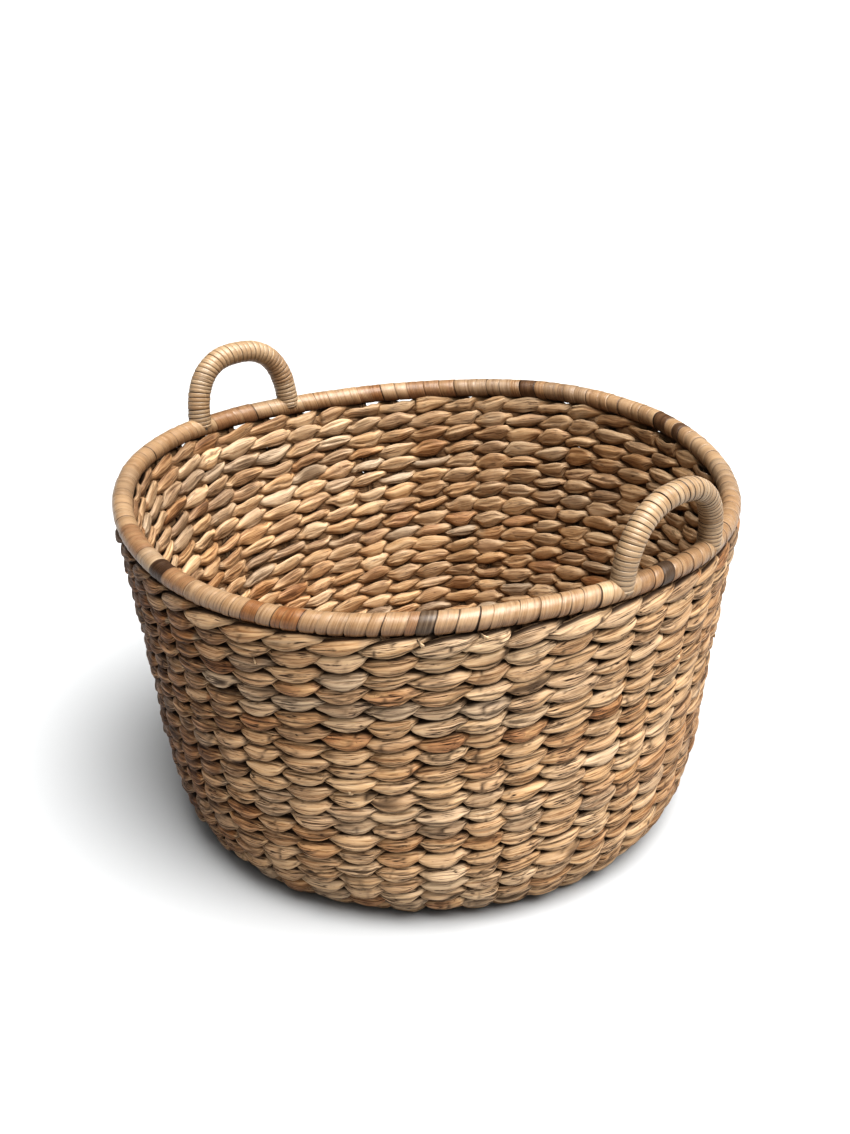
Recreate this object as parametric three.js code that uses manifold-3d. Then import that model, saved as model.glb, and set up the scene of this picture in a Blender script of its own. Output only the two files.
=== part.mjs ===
// A round twined storage basket with two upright loop handles, in millimetres, +Z up.
// The origin is on the floor under the middle of the basket, and the handles stand at +X and -X.
//
// The wall and base are twined: in every row two leaf strands pass a ring of stakes, one in front and one
// behind, and change sides between the stakes. A row is modelled as its outer and inner strand rings with
// the stakes running free in the space between them, and crossings that tie the two rings together.
// The stakes start as two sets that cross in the middle of the base, fan out, turn up at the corner and end
// under the rim hoop. Leaf wraps hold the stake ends to the hoop, and each handle's wire goes down through
// the hoop into the wall between two stakes.

import * as THREE from "three";
import { mergeVertices } from "three/addons/utils/BufferGeometryUtils.js";
import Module from "manifold-3d";

// ---- driving dimensions (mm, degrees) ----
const RIM_R = 217.5; // rim hoop centre line, radius
const RIM_Z = 249.2; // rim hoop centre line, height above the floor
const RIM_TUBE_R = 7.5; // wrapped rim, outside
const HOOP_R = 4.6; // bundled hoop inside the wrap
const WRAP_IN_R = 5.9; // inside of the rim wrap
const STAKES = 46; // stake ends that go up the wall
const STAKE_W = 5.0; // stake width
const STAKE_T = 1.6; // stake thickness
const STAKE_OFF = 1.0; // the two crossing sets lie this far to either side of the wall's middle
const GAP_HALF = 2.5; // half the space between the outer and the inner strands
const WALL_HALF = 6.7; // half the wall's whole thickness
const ROW_PITCH = 12.2; // one twined row
const ROW_H = 11.9; // strand height, which leaves 0.3 between rows
const WALL_ROWS = 19;
const TOP_ROW_Z = 235.3; // middle of the highest row
const SEGMENTS = 24; // facets of a row
const RIM_SEGMENTS = 40; // facets of the hoop
const WRAP_LENGTHS = 8; // leaf lengths that cover the rim
const CENTRE_HOLE_R = 4; // the first round starts here, over the crossing
const BASE_SPLIT = [80, 124]; // radii where one base round ends and the next starts
const CROSS_PLATE = 76; // side of the square where the two stake sets cross
const WIRE_R = 1.6; // handle wire
const HANDLE_PAD_R = [2.3, 5.6]; // leaf padding on the wire, inside and outside
const HANDLE_WRAP_R = [6.3, 8.5]; // leaf wrap on the padding
const LEG_DEPTH = 60; // how far a handle wire goes down inside the wall
const LASH_HALF_DEG = 2.7; // half the length of a handle-foot lashing along the rim
const LASH_R = 7.9;
const HANDLES = {
  right: { at: 2.7, half: 49.2, high: 54.0, lean: 6.5 },
  left: { at: 177.3, half: 41.6, high: 52.4, lean: 5.5 },
};
// The basket is hand made and a little out of round: second and third harmonics of the rim.
const WOBBLE_FROM = 45.8;
const WOBBLE_R = [1.42, -2.17, 0.41, 3.61];
const WOBBLE_Z = [-1.48, -0.07, -3.71, 2.09];
const SHIFT = [3.2, -2.28]; // brings the middle of the outline back over the origin

const rad = THREE.MathUtils.degToRad;
const TAU = Math.PI * 2;
const cos = Math.cos,
  sin = Math.sin;

// ---- the wall's middle line, from the base centre to the rim, as radius and height ----
const MIDLINE = [
  [0, 6.7],
  [32, 6.7],
  [157, 6.7],
  [171, 10.4],
  [181.6, 22.4],
  [189.6, 42],
  [196.7, 85],
  [204.4, 157],
  [217.5, 244.0],
];
const midline = [0];
for (let i = 1; i < MIDLINE.length; i++)
  midline.push(
    midline[i - 1] +
      Math.hypot(
        MIDLINE[i][0] - MIDLINE[i - 1][0],
        MIDLINE[i][1] - MIDLINE[i - 1][1],
      ),
  );
// outward normals at the corners of the middle line, halfway between the two stretches that meet there
const cornerNormals = MIDLINE.map((_, i) => {
  const a = MIDLINE[Math.max(0, i - 1)],
    b = MIDLINE[i],
    c = MIDLINE[Math.min(MIDLINE.length - 1, i + 1)];
  const n = new THREE.Vector2();
  for (const [p, q] of [
    [a, b],
    [b, c],
  ]) {
    const l = Math.hypot(q[0] - p[0], q[1] - p[1]);
    if (l > 0) n.add(new THREE.Vector2((q[1] - p[1]) / l, -(q[0] - p[0]) / l));
  }
  n.normalize();
  // a mitre, so that an offset line stays parallel to its stretch
  const t = i > 0 ? i - 1 : 0;
  const e = new THREE.Vector2(
    MIDLINE[t + 1][1] - MIDLINE[t][1],
    -(MIDLINE[t + 1][0] - MIDLINE[t][0]),
  ).normalize();
  return n.divideScalar(n.dot(e));
});
// the point at length s along the middle line, moved b outward
function M(s, b) {
  let i = 1;
  while (i < midline.length - 1 && midline[i] < s) i++;
  const f = (s - midline[i - 1]) / (midline[i] - midline[i - 1]);
  const n = cornerNormals[i - 1].clone().lerp(cornerNormals[i], f);
  return new THREE.Vector2(
    THREE.MathUtils.lerp(MIDLINE[i - 1][0], MIDLINE[i][0], f) + b * n.x,
    THREE.MathUtils.lerp(MIDLINE[i - 1][1], MIDLINE[i][1], f) + b * n.y,
  );
}
function lengthAt(test) {
  let lo = 0,
    hi = midline[midline.length - 1];
  for (let k = 0; k < 60; k++) {
    const m = (lo + hi) / 2;
    if (test(M(m, 0))) hi = m;
    else lo = m;
  }
  return lo;
}
const sAtRadius = (r) => lengthAt((p) => p.x >= r);
const sAtHeight = (z) => lengthAt((p) => p.y >= z);

// a faceted ring's radius at angle t, as a share of the round one
const FACET = rad(360 / SEGMENTS);
const FACET_SCALE = 1 + (1 - cos(FACET / 2)) / 2;
function facet(t) {
  const d = (((t % FACET) + FACET) % FACET) - FACET / 2;
  return (FACET_SCALE * cos(FACET / 2)) / cos(d);
}

// ---- the hand-made wobble, applied to every piece alike ----
function wobble(g) {
  const p = g.attributes.position;
  for (let i = 0; i < p.count; i++) {
    const x = p.getX(i),
      y = p.getY(i),
      z = p.getZ(i);
    const r = Math.hypot(x, y),
      t = Math.atan2(y, x) - rad(WOBBLE_FROM);
    const k = THREE.MathUtils.clamp(z / RIM_Z, 0, 1);
    const h = [cos(2 * t), sin(2 * t), cos(3 * t), sin(3 * t)];
    const dr = h.reduce((a, c, j) => a + c * WOBBLE_R[j], 0) * k;
    const dz = h.reduce((a, c, j) => a + c * WOBBLE_Z[j], 0) * k * k;
    const m = r > 1 ? (r + dr * Math.min(1, r / RIM_R)) / r : 1;
    p.setXYZ(i, x * m + SHIFT[0], y * m + SHIFT[1], z + dz);
  }
  return g;
}

// ---- joining and cutting ----
const wasm = await Module();
wasm.setup();
function toSolid(geometry) {
  let g = geometry.index ? geometry.toNonIndexed() : geometry.clone();
  g.deleteAttribute("normal");
  g.deleteAttribute("uv");
  g = mergeVertices(g, 1e-3);
  const tri = new Uint32Array(g.index.array);
  const make = () =>
    new wasm.Manifold(
      new wasm.Mesh({
        numProp: 3,
        vertProperties: g.attributes.position.array,
        triVerts: tri,
      }),
    );
  let m = make();
  if (m.volume() < 0) {
    for (let i = 0; i < tri.length; i += 3)
      [tri[i + 1], tri[i + 2]] = [tri[i + 2], tri[i + 1]];
    m = make();
  }
  return m;
}
function toGeometry(solid) {
  const m = solid.getMesh();
  const g = new THREE.BufferGeometry();
  const v = new Float32Array((m.vertProperties.length / m.numProp) * 3);
  for (let i = 0, n = v.length / 3; i < n; i++)
    for (let k = 0; k < 3; k++) v[3 * i + k] = m.vertProperties[i * m.numProp + k];
  g.setAttribute("position", new THREE.BufferAttribute(v, 3));
  g.setIndex(new THREE.BufferAttribute(new Uint32Array(m.triVerts), 1));
  return g;
}

const basket = new THREE.Group();
function piece(name, solid, colour, roughness = 0.75) {
  const g = wobble(toGeometry(solid));
  g.computeVertexNormals();
  const mesh = new THREE.Mesh(
    g,
    new THREE.MeshStandardMaterial({
      color: new THREE.Color(colour),
      roughness,
      metalness: 0,
      flatShading: true,
    }),
  );
  mesh.name = name;
  basket.add(mesh);
  return mesh;
}

// a ring turned around +Z from a closed outline of (radius, height) points
function turned(points, segments, scale = 1) {
  const outline = points.map((p) => new THREE.Vector2(p.x * scale, p.y));
  outline.push(outline[0].clone());
  return new THREE.LatheGeometry(outline, segments).rotateX(Math.PI / 2);
}
// a box with its middle at radius r and height z, at angle t
function block(t, r, z, long, wide, high) {
  return new THREE.BoxGeometry(long, wide, high)
    .translate(r, 0, z)
    .rotateZ(t);
}

// ---- handle legs, which every other piece keeps clear of ----
const legs = [];
for (const [side, h] of Object.entries(HANDLES))
  for (const k of [-1, 1])
    legs.push({ side, k, t: rad(h.at) + k * Math.asin(h.half / RIM_R) });
const nearLeg = (t, by) =>
  legs.some((l) => Math.abs(Math.atan2(sin(t - l.t), cos(t - l.t))) < by);

// ---- twined rows: outer strand ring, inner strand ring, and crossings between stakes ----
function strandRings(s, half) {
  // the sides that face the stakes follow the middle line round its bends
  const bends = midline.filter((m) => m > s - half + 0.5 && m < s + half - 0.5);
  const outer = [
    M(s - half, GAP_HALF),
    M(s - half * 0.55, WALL_HALF),
    M(s + half * 0.55, WALL_HALF),
    M(s + half, GAP_HALF),
    ...bends.map((m) => M(m, GAP_HALF)).reverse(),
  ];
  const inner = [
    M(s - half, -GAP_HALF),
    ...bends.map((m) => M(m, -GAP_HALF)),
    M(s + half, -GAP_HALF),
    M(s, -WALL_HALF),
  ];
  return [outer, inner];
}
function crossed(rings, s, first, count, low, wide = 4) {
  let solid = null;
  for (const r of rings) {
    const ring = toSolid(turned(r, SEGMENTS, FACET_SCALE));
    solid = solid ? solid.add(ring) : ring;
  }
  const tilt = M(s, 1).sub(M(s, 0));
  const mid = M(s, 0);
  for (let k = 0; k < count; k++) {
    let j = (first + Math.round((k * STAKES) / count)) % STAKES;
    while (!low && nearLeg((j * TAU) / STAKES, rad(2.5))) j = (j + 1) % STAKES;
    const t = (j * TAU) / STAKES;
    const tie = new THREE.BoxGeometry(2 * GAP_HALF + 2.4, wide, 5)
      .rotateY(Math.atan2(-tilt.y, tilt.x))
      .translate(mid.x * facet(t), 0, mid.y)
      .rotateZ(t);
    solid = solid.add(toSolid(tie));
  }
  return solid;
}
const LEAF = ["#c3a077", "#b9976d", "#c9a97f", "#bd9c74"];
const sTop = sAtHeight(TOP_ROW_Z);
const rowLength = (n) => sTop - (WALL_ROWS - n) * ROW_PITCH; // n = 1 lowest .. WALL_ROWS; 0 is the corner row
for (let n = 0; n <= WALL_ROWS; n++) {
  const s = rowLength(n);
  const name =
    n === 0 ? "corner_row" : `wall_row_${String(n).padStart(2, "0")}`;
  piece(
    name,
    crossed(strandRings(s, ROW_H / 2), s, n * 5, 3, n < 13),
    LEAF[n % 4],
  );
}

// ---- base rounds: the same construction, three or four rows to a piece ----
const baseEnd = rowLength(0) - ROW_PITCH / 2; // where the corner row starts
const baseEdges = [
  sAtRadius(CENTRE_HOLE_R),
  ...BASE_SPLIT.map(sAtRadius),
  baseEnd,
];
["base_round_inner", "base_round_middle", "base_round_outer"].forEach(
  (name, i) => {
    const a = baseEdges[i] + 0.15,
      b = baseEdges[i + 1] - 0.15;
    const steps = i === 2 ? [sAtRadius(156)] : []; // the outer round starts to turn up at its edge
    const line = [a, ...steps.filter((s) => s < b), b];
    const slab = (near, far) => [
      ...line.map((s) => M(s, near)),
      ...line.map((s) => M(s, far)).reverse(),
    ];
    // the inner rounds are drawn up a little, so the basket rests on the outer one
    const under = i === 2 ? WALL_HALF : WALL_HALF - 0.9;
    piece(
      name,
      crossed(
        [slab(GAP_HALF, under), slab(-GAP_HALF, -WALL_HALF)],
        i === 0 ? b - 4 : (a + b) / 2, // near the middle the stakes leave no room between them
        2 + 3 * i,
        i === 0 ? 3 : 4,
        true,
        i === 0 ? 3 : 4,
      ),
      LEAF[(i + 1) % 4],
    );
  },
);

// ---- stakes: two sets that cross in the middle of the base ----
const stakeStations = MIDLINE.slice(1).map((_, i) => midline[i + 1]);
function stake(index, off) {
  const t = ((index + 0.5) * TAU) / STAKES;
  const f = facet(t);
  const side = (b) =>
    stakeStations.map((s) => {
      const p = M(s, b);
      return new THREE.Vector2(p.x * f, p.y);
    });
  const outline = [
    ...side(off + STAKE_T / 2),
    ...side(off - STAKE_T / 2).reverse(),
  ];
  return new THREE.ExtrudeGeometry(new THREE.Shape(outline), {
    depth: STAKE_W,
    bevelEnabled: false,
  })
    .rotateX(Math.PI / 2)
    .translate(0, STAKE_W / 2, 0)
    .rotateZ(t);
}
function stakeSet(name, indices, off, colour) {
  const z = MIDLINE[0][1] - off;
  let solid = toSolid(
    new THREE.BoxGeometry(CROSS_PLATE, CROSS_PLATE, STAKE_T + 0.1).translate(
      0,
      0,
      z,
    ),
  );
  for (const i of indices) solid = solid.add(toSolid(stake(i, off)));
  piece(name, solid, colour);
}
const lengthwise = [],
  crosswise = [];
for (let i = 0; i < STAKES; i++) {
  const t = (i + 0.5) / STAKES; // share of a turn from +X
  const toX = t < 0.13 || t > 0.87 || (t > 0.37 && t < 0.63);
  (toX ? lengthwise : crosswise).push(i);
}
stakeSet("stakes_lengthwise", lengthwise, STAKE_OFF, "#a98a62");
stakeSet("stakes_crosswise", crosswise, -STAKE_OFF, "#b1936b");

// ---- handles ----
// a point of the handle's middle line: u from 0 at one foot to 1 at the other
function arch(h, u) {
  const a = Math.PI * u;
  const p = 2.5;
  const c = -cos(a);
  const X = Math.sign(c) * Math.pow(Math.abs(c), 2 / p),
    Z = Math.pow(Math.abs(sin(a)), 2 / p);
  const t = rad(h.at),
    rc = Math.sqrt(RIM_R * RIM_R - h.half * h.half) + h.lean * Z;
  return new THREE.Vector3(
    rc * cos(t) - h.half * X * sin(t),
    rc * sin(t) + h.half * X * cos(t),
    RIM_Z + h.high * Z,
  );
}
// a point of a leg, d below the rim's middle
function legPoint(l, d) {
  const p = M(sAtHeight(Math.min(RIM_Z - d, 243.9)), 0);
  const f = THREE.MathUtils.lerp(1, facet(l.t), Math.min(1, d / 20));
  const r = d < 1 ? RIM_R : p.x * f;
  return new THREE.Vector3(r * cos(l.t), r * sin(l.t), RIM_Z - d);
}
function around(curve, steps, outer, inner, sides, twist = 0) {
  const ring = (r) =>
    Array.from({ length: sides }, (_, i) => {
      const a = ((i + 0.5 + twist) * TAU) / sides;
      return new THREE.Vector2(r * cos(a), r * sin(a));
    });
  const shape = new THREE.Shape(ring(outer));
  if (inner) shape.holes.push(new THREE.Path(ring(inner).reverse()));
  return new THREE.ExtrudeGeometry(shape, {
    steps,
    extrudePath: curve,
    bevelEnabled: false,
  });
}
function archCurve(h, from, count) {
  // the stretch of the arch above the height `from`, in equal steps of angle
  const u0 = Math.asin(Math.pow(from / h.high, 2.5 / 2)) / Math.PI;
  const pts = [];
  for (let i = 0; i <= count; i++) pts.push(arch(h, u0 + ((1 - 2 * u0) * i) / count));
  return new THREE.CatmullRomCurve3(pts, false, "centripetal");
}
for (const [side, h] of Object.entries(HANDLES)) {
  const [l0, l1] = legs.filter((l) => l.side === side);
  const down = [60, 42, 24, 9].map((d) => (d / 60) * LEG_DEPTH);
  const pts = [
    ...down.map((d) => legPoint(l0, d)),
    ...Array.from({ length: 17 }, (_, i) => arch(h, i / 16)),
    ...down.reverse().map((d) => legPoint(l1, d)),
  ];
  const wire = new THREE.CatmullRomCurve3(pts, false, "centripetal");
  piece(
    `handle_${side}_wire`,
    toSolid(around(wire, 30, WIRE_R, 0, 6)),
    "#6d6660",
    0.45,
  );
  piece(
    `handle_${side}_padding`,
    toSolid(
      around(archCurve(h, 9.0, 18), 14, HANDLE_PAD_R[1], HANDLE_PAD_R[0], 6),
    ),
    "#a88b63",
  );
  piece(
    `handle_${side}_wrap`,
    toSolid(
      around(archCurve(h, 9.4, 18), 14, HANDLE_WRAP_R[1], HANDLE_WRAP_R[0], 8),
    ),
    "#cfae7f",
    0.6,
  );
}

// ---- rim: hoop, leaf wraps and handle-foot lashings ----
// a hole for a handle wire, along the leg at the rim
function wireHole(l, r, low, high) {
  const a = legPoint(l, 9),
    b = new THREE.Vector3(RIM_R * cos(l.t), RIM_R * sin(l.t), RIM_Z);
  const dir = b.clone().sub(a).normalize();
  const g = new THREE.CylinderGeometry(r, r, high - low, 8)
    .rotateX(Math.PI / 2)
    .translate(0, 0, (high + low) / 2);
  g.applyQuaternion(
    new THREE.Quaternion().setFromUnitVectors(new THREE.Vector3(0, 0, 1), dir),
  );
  return toSolid(g.translate(b.x, b.y, b.z));
}
const hoopOutline = Array.from({ length: 8 }, (_, i) => {
  const a = ((i + 0.5) * TAU) / 8;
  return new THREE.Vector2(RIM_R + HOOP_R * cos(a), RIM_Z + HOOP_R * sin(a));
});
let hoop = toSolid(
  turned(hoopOutline, RIM_SEGMENTS, 1 + (1 - cos(Math.PI / RIM_SEGMENTS)) / 2),
);
for (const l of legs) hoop = hoop.subtract(wireHole(l, 2.4, -12, 12));
piece("rim_hoop", hoop, "#a5875f");

// a wrap's section, open underneath where the stakes and the handle wires come in
function wrapShape(outer, inner) {
  const arc = (r) =>
    Array.from({ length: 8 }, (_, i) => {
      const a = rad(-57 + (294 * i) / 7);
      return [r * cos(a), r * sin(a)];
    });
  return [...arc(outer), ...arc(inner).reverse()];
}
// The section is swept along the rim between two angles.
class RimArc extends THREE.Curve {
  constructor(r, from, to) {
    super();
    Object.assign(this, { r, from, to });
  }
  getPoint(u, p = new THREE.Vector3()) {
    const t = this.from + (this.to - this.from) * u;
    return p.set(this.r * cos(t), this.r * sin(t), RIM_Z);
  }
}
function alongRim(from, to, outer, inner) {
  const n = Math.max(2, Math.ceil((to - from) / rad(9)));
  const k = 1 + (1 - cos((to - from) / n / 2)) / 2;
  const path = new RimArc(RIM_R * k, from, to);
  // the sweep's own axes: find which of them points up, and which outward
  const frames = path.computeFrenetFrames(n, false);
  const N = frames.normals[0],
    B = frames.binormals[0];
  const out = new THREE.Vector3(cos(from), sin(from), 0);
  const shape = wrapShape(outer, inner).map(
    ([a, b]) =>
      new THREE.Vector2(
        a * Math.sign(N.dot(out)) * (Math.abs(N.z) < 0.5) +
          b * Math.sign(N.z) * (Math.abs(N.z) > 0.5),
        a * Math.sign(B.dot(out)) * (Math.abs(B.z) < 0.5) +
          b * Math.sign(B.z) * (Math.abs(B.z) > 0.5),
      ),
  );
  return toSolid(
    new THREE.ExtrudeGeometry(new THREE.Shape(shape), {
      steps: n,
      extrudePath: path,
      bevelEnabled: false,
    }),
  );
}
const spans = [];
const feet = legs
  .map((l) => ({ l, t: ((l.t % TAU) + TAU) % TAU }))
  .sort((a, b) => a.t - b.t);
feet.forEach(({ l }, i) => {
  const half = rad(LASH_HALF_DEG);
  const name = `foot_lashing_${l.side}_${l.k < 0 ? "a" : "b"}`;
  piece(
    name,
    alongRim(l.t - half, l.t + half, LASH_R, WRAP_IN_R).subtract(
      wireHole(l, 2.3, 2, 14),
    ),
    "#c59f6c",
    0.6,
  );
});
const clear = rad(LASH_HALF_DEG) + 0.35 / RIM_R;
feet.forEach(({ t }, i) => {
  const next = feet[(i + 1) % feet.length].t + (i === feet.length - 1 ? TAU : 0);
  spans.push([t + clear, next - clear]);
});
// the two long spans are covered by three lengths each, the two under the handles by one each
let wrapNumber = 0;
for (const [a, b] of spans) {
  const parts = b - a > 1 ? (WRAP_LENGTHS - 2) / 2 : 1;
  for (let i = 0; i < parts; i++) {
    const from = a + ((b - a) * i) / parts + (i ? 0.17 / RIM_R : 0),
      to = a + ((b - a) * (i + 1)) / parts - (i < parts - 1 ? 0.17 / RIM_R : 0);
    piece(
      `rim_wrap_${++wrapNumber}`,
      alongRim(from, to, RIM_TUBE_R, WRAP_IN_R),
      "#d0b081",
      0.6,
    );
  }
}

export default basket;
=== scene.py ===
"""A round storage basket twined from flat dried leaves, with a wrapped rim and two upright wrapped loop handles.

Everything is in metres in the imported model's frame. Lengths below are in millimetres until a mesh is made.
A point of the wall is given by (t, s, b): the angle round the basket, the length along the wall's middle line
from the middle of the base out and up to the rim, and how far outward of that middle line it lies.
"""

import math

import bpy
import numpy as np
from mathutils import Matrix, Vector


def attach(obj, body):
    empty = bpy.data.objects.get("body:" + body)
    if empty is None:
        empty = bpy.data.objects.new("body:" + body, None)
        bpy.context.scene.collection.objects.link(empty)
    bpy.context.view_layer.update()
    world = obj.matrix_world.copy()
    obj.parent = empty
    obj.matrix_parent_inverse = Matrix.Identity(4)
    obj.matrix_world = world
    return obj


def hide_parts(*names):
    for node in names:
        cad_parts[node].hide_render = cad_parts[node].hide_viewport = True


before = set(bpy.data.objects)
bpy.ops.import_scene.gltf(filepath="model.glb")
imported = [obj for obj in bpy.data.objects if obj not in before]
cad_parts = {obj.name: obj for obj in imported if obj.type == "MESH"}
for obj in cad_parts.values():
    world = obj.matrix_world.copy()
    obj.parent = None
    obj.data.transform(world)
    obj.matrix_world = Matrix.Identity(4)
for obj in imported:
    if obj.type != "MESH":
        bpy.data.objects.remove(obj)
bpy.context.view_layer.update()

TAU = 2 * math.pi
STAKES = 46
ROW_PITCH = 12.2
WALL_ROWS = 19
TOP_ROW_Z = 235.3
RIM_R, RIM_Z = 217.5, 249.2
WOBBLE_FROM = math.radians(45.8)
WOBBLE_R = (1.42, -2.17, 0.41, 3.61)
WOBBLE_Z = (-1.48, -0.07, -3.71, 2.09)
SHIFT = (3.2, -2.28)
HANDLES = {
    "right": dict(at=2.7, half=49.2, high=54.0, lean=6.5),
    "left": dict(at=177.3, half=41.6, high=52.4, lean=5.5),
}
FRONT = 45.8  # the direction that faces the camera is this far round from -Y

# ---------------------------------------------------------------- seeded noise


def chance(*keys):
    """A number from 0 to 1 for each combination of whole-number keys, always the same."""
    h = np.uint64(1469598103934665603)
    out = None
    for k in keys:
        k = np.asarray(k).astype(np.int64).astype(np.uint64)
        out = (k + h) if out is None else (out ^ (k + h))
        with np.errstate(over="ignore"):
            out = out * np.uint64(0x9E3779B97F4A7C15)
            out = out ^ (out >> np.uint64(29))
            out = out * np.uint64(0xBF58476D1CE4E5B9)
            out = out ^ (out >> np.uint64(32))
    return (out >> np.uint64(11)).astype(np.float64) / float(1 << 53)


def either(*keys):
    return 2 * chance(*keys) - 1


def drift(x, seed, turn=None):
    """Smooth noise from -1 to 1 along x, with one free value per unit. turn makes it repeat."""
    x = np.asarray(x, float)
    i = np.floor(x).astype(np.int64)
    f = x - i
    f = f * f * f * (f * (6 * f - 15) + 10)
    a, b = (i, i + 1) if turn is None else (i % turn, (i + 1) % turn)
    return either(a, seed) * (1 - f) + either(b, seed) * f


def drift2(x, y, seed, turn=None):
    x, y = np.broadcast_arrays(np.asarray(x, float), np.asarray(y, float))
    i, j = np.floor(x).astype(np.int64), np.floor(y).astype(np.int64)
    f, g = x - i, y - j
    f = f * f * f * (f * (6 * f - 15) + 10)
    g = g * g * g * (g * (6 * g - 15) + 10)
    a, b = (i, i + 1) if turn is None else (i % turn, (i + 1) % turn)
    low = either(a, j, seed) * (1 - f) + either(b, j, seed) * f
    high = either(a, j + 1, seed) * (1 - f) + either(b, j + 1, seed) * f
    return low * (1 - g) + high * g


# ---------------------------------------------------------------- the wall's middle line

MIDLINE = np.array(
    [[0, 6.7], [32, 6.7], [157, 6.7], [171, 10.4], [181.6, 22.4], [189.6, 42], [196.7, 85], [204.4, 157], [217.5, 244.0]]
)
_run = np.concatenate([[0], np.cumsum(np.hypot(*np.diff(MIDLINE, axis=0).T))])
_s = np.arange(-60, _run[-1] + 60, 0.5)
_r = np.interp(_s, _run, MIDLINE[:, 0])
_z = np.interp(_s, _run, MIDLINE[:, 1])
_r = np.where(_s < 0, _s, _r)
_end = (MIDLINE[-1] - MIDLINE[-2]) / np.hypot(*(MIDLINE[-1] - MIDLINE[-2]))
_past = np.maximum(0, _s - _run[-1])
_r, _z = _r + _end[0] * _past, _z + _end[1] * _past
_k = np.exp(-0.5 * (np.arange(-50, 51) * 0.5 / 6.5) ** 2)
_k /= _k.sum()
_s2, _r2, _z2 = _s[50:-50], np.convolve(_r, _k, "valid"), np.convolve(_z, _k, "valid")
_tr, _tz = np.gradient(_r2), np.gradient(_z2)
_l = np.hypot(_tr, _tz)
_nr, _nz = _tz / _l, -_tr / _l


def length_at_height(z):
    up = _s2 > 150
    return float(np.interp(z, _z2[up], _s2[up]))


def length_at_radius(r):
    return float(np.interp(r, _r2, _s2))


S_TOP = length_at_height(TOP_ROW_Z)


def row_length(n):
    return S_TOP - (WALL_ROWS - n) * ROW_PITCH


def wobble(p):
    """The hand-made shape: the basket is a little out of round, and its rim is a little wavy."""
    x, y, z = p[..., 0], p[..., 1], p[..., 2]
    r = np.hypot(x, y)
    t = np.arctan2(y, x) - WOBBLE_FROM
    k = np.clip(z / RIM_Z, 0, 1)
    h = (np.cos(2 * t), np.sin(2 * t), np.cos(3 * t), np.sin(3 * t))
    dr = sum(a * c for a, c in zip(h, WOBBLE_R)) * k
    dz = sum(a * c for a, c in zip(h, WOBBLE_Z)) * k * k
    m = np.where(r > 1, (r + dr * np.minimum(1, r / RIM_R)) / np.maximum(r, 1e-6), 1)
    return np.stack([x * m + SHIFT[0], y * m + SHIFT[1], z + dz], -1)


def wall_point(t, s, b):
    r = np.interp(s, _s2, _r2) + b * np.interp(s, _s2, _nr)
    z = np.interp(s, _s2, _z2) + b * np.interp(s, _s2, _nz)
    return np.stack([r * np.cos(t), r * np.sin(t), z], -1)


# ---------------------------------------------------------------- stakes: their places round the basket

# seen from the front these are the columns of the weave, which are as uneven as the hand that set them
_front = [-140, -131, -123, -114, -105, -97, -88.5, -80.75, -74, -65.5, -57, -50, -41.5, -32.25]
_back = [35.3, 44, 52, 58.5, 66.3, 74.0, 81, 88.7, 96.7, 103.7, 110.9, 118.3, 126, 135]
_right = [-32.25 + (35.3 + 32.25) * k / 9 + 0.8 * float(either(k, 5)) for k in range(1, 9)]
_left = [135 + (220 - 135) * k / 11 + 0.8 * float(either(k, 6)) for k in range(1, 11)]
STAKE_DEG = np.array(_front + _right + _back + _left)
assert len(STAKE_DEG) == STAKES
STAKE_T = np.radians(STAKE_DEG + FRONT)


def stake_angle(u, stakes=None):
    """The angle at stake number u, which may lie between two stakes."""
    st = STAKE_T if stakes is None else stakes
    n = len(st)
    u = np.asarray(u, float)
    i = np.floor(u).astype(int)
    f = u - i

    def at(j):
        return st[j % n] + TAU * (j // n)

    p0, p1, p2, p3 = at(i - 1), at(i), at(i + 1), at(i + 2)
    a = 0.5 * (p2 - p0)
    b = 0.5 * (p3 - p1)
    h = f * f
    g = h * f
    return (2 * g - 3 * h + 1) * p1 + (g - 2 * h + f) * a + (-2 * g + 3 * h) * p2 + (g - h) * b


def even_stakes(n, turn=0.0):
    return (np.arange(n) + turn) * TAU / n


# ---------------------------------------------------------------- meshes


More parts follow.
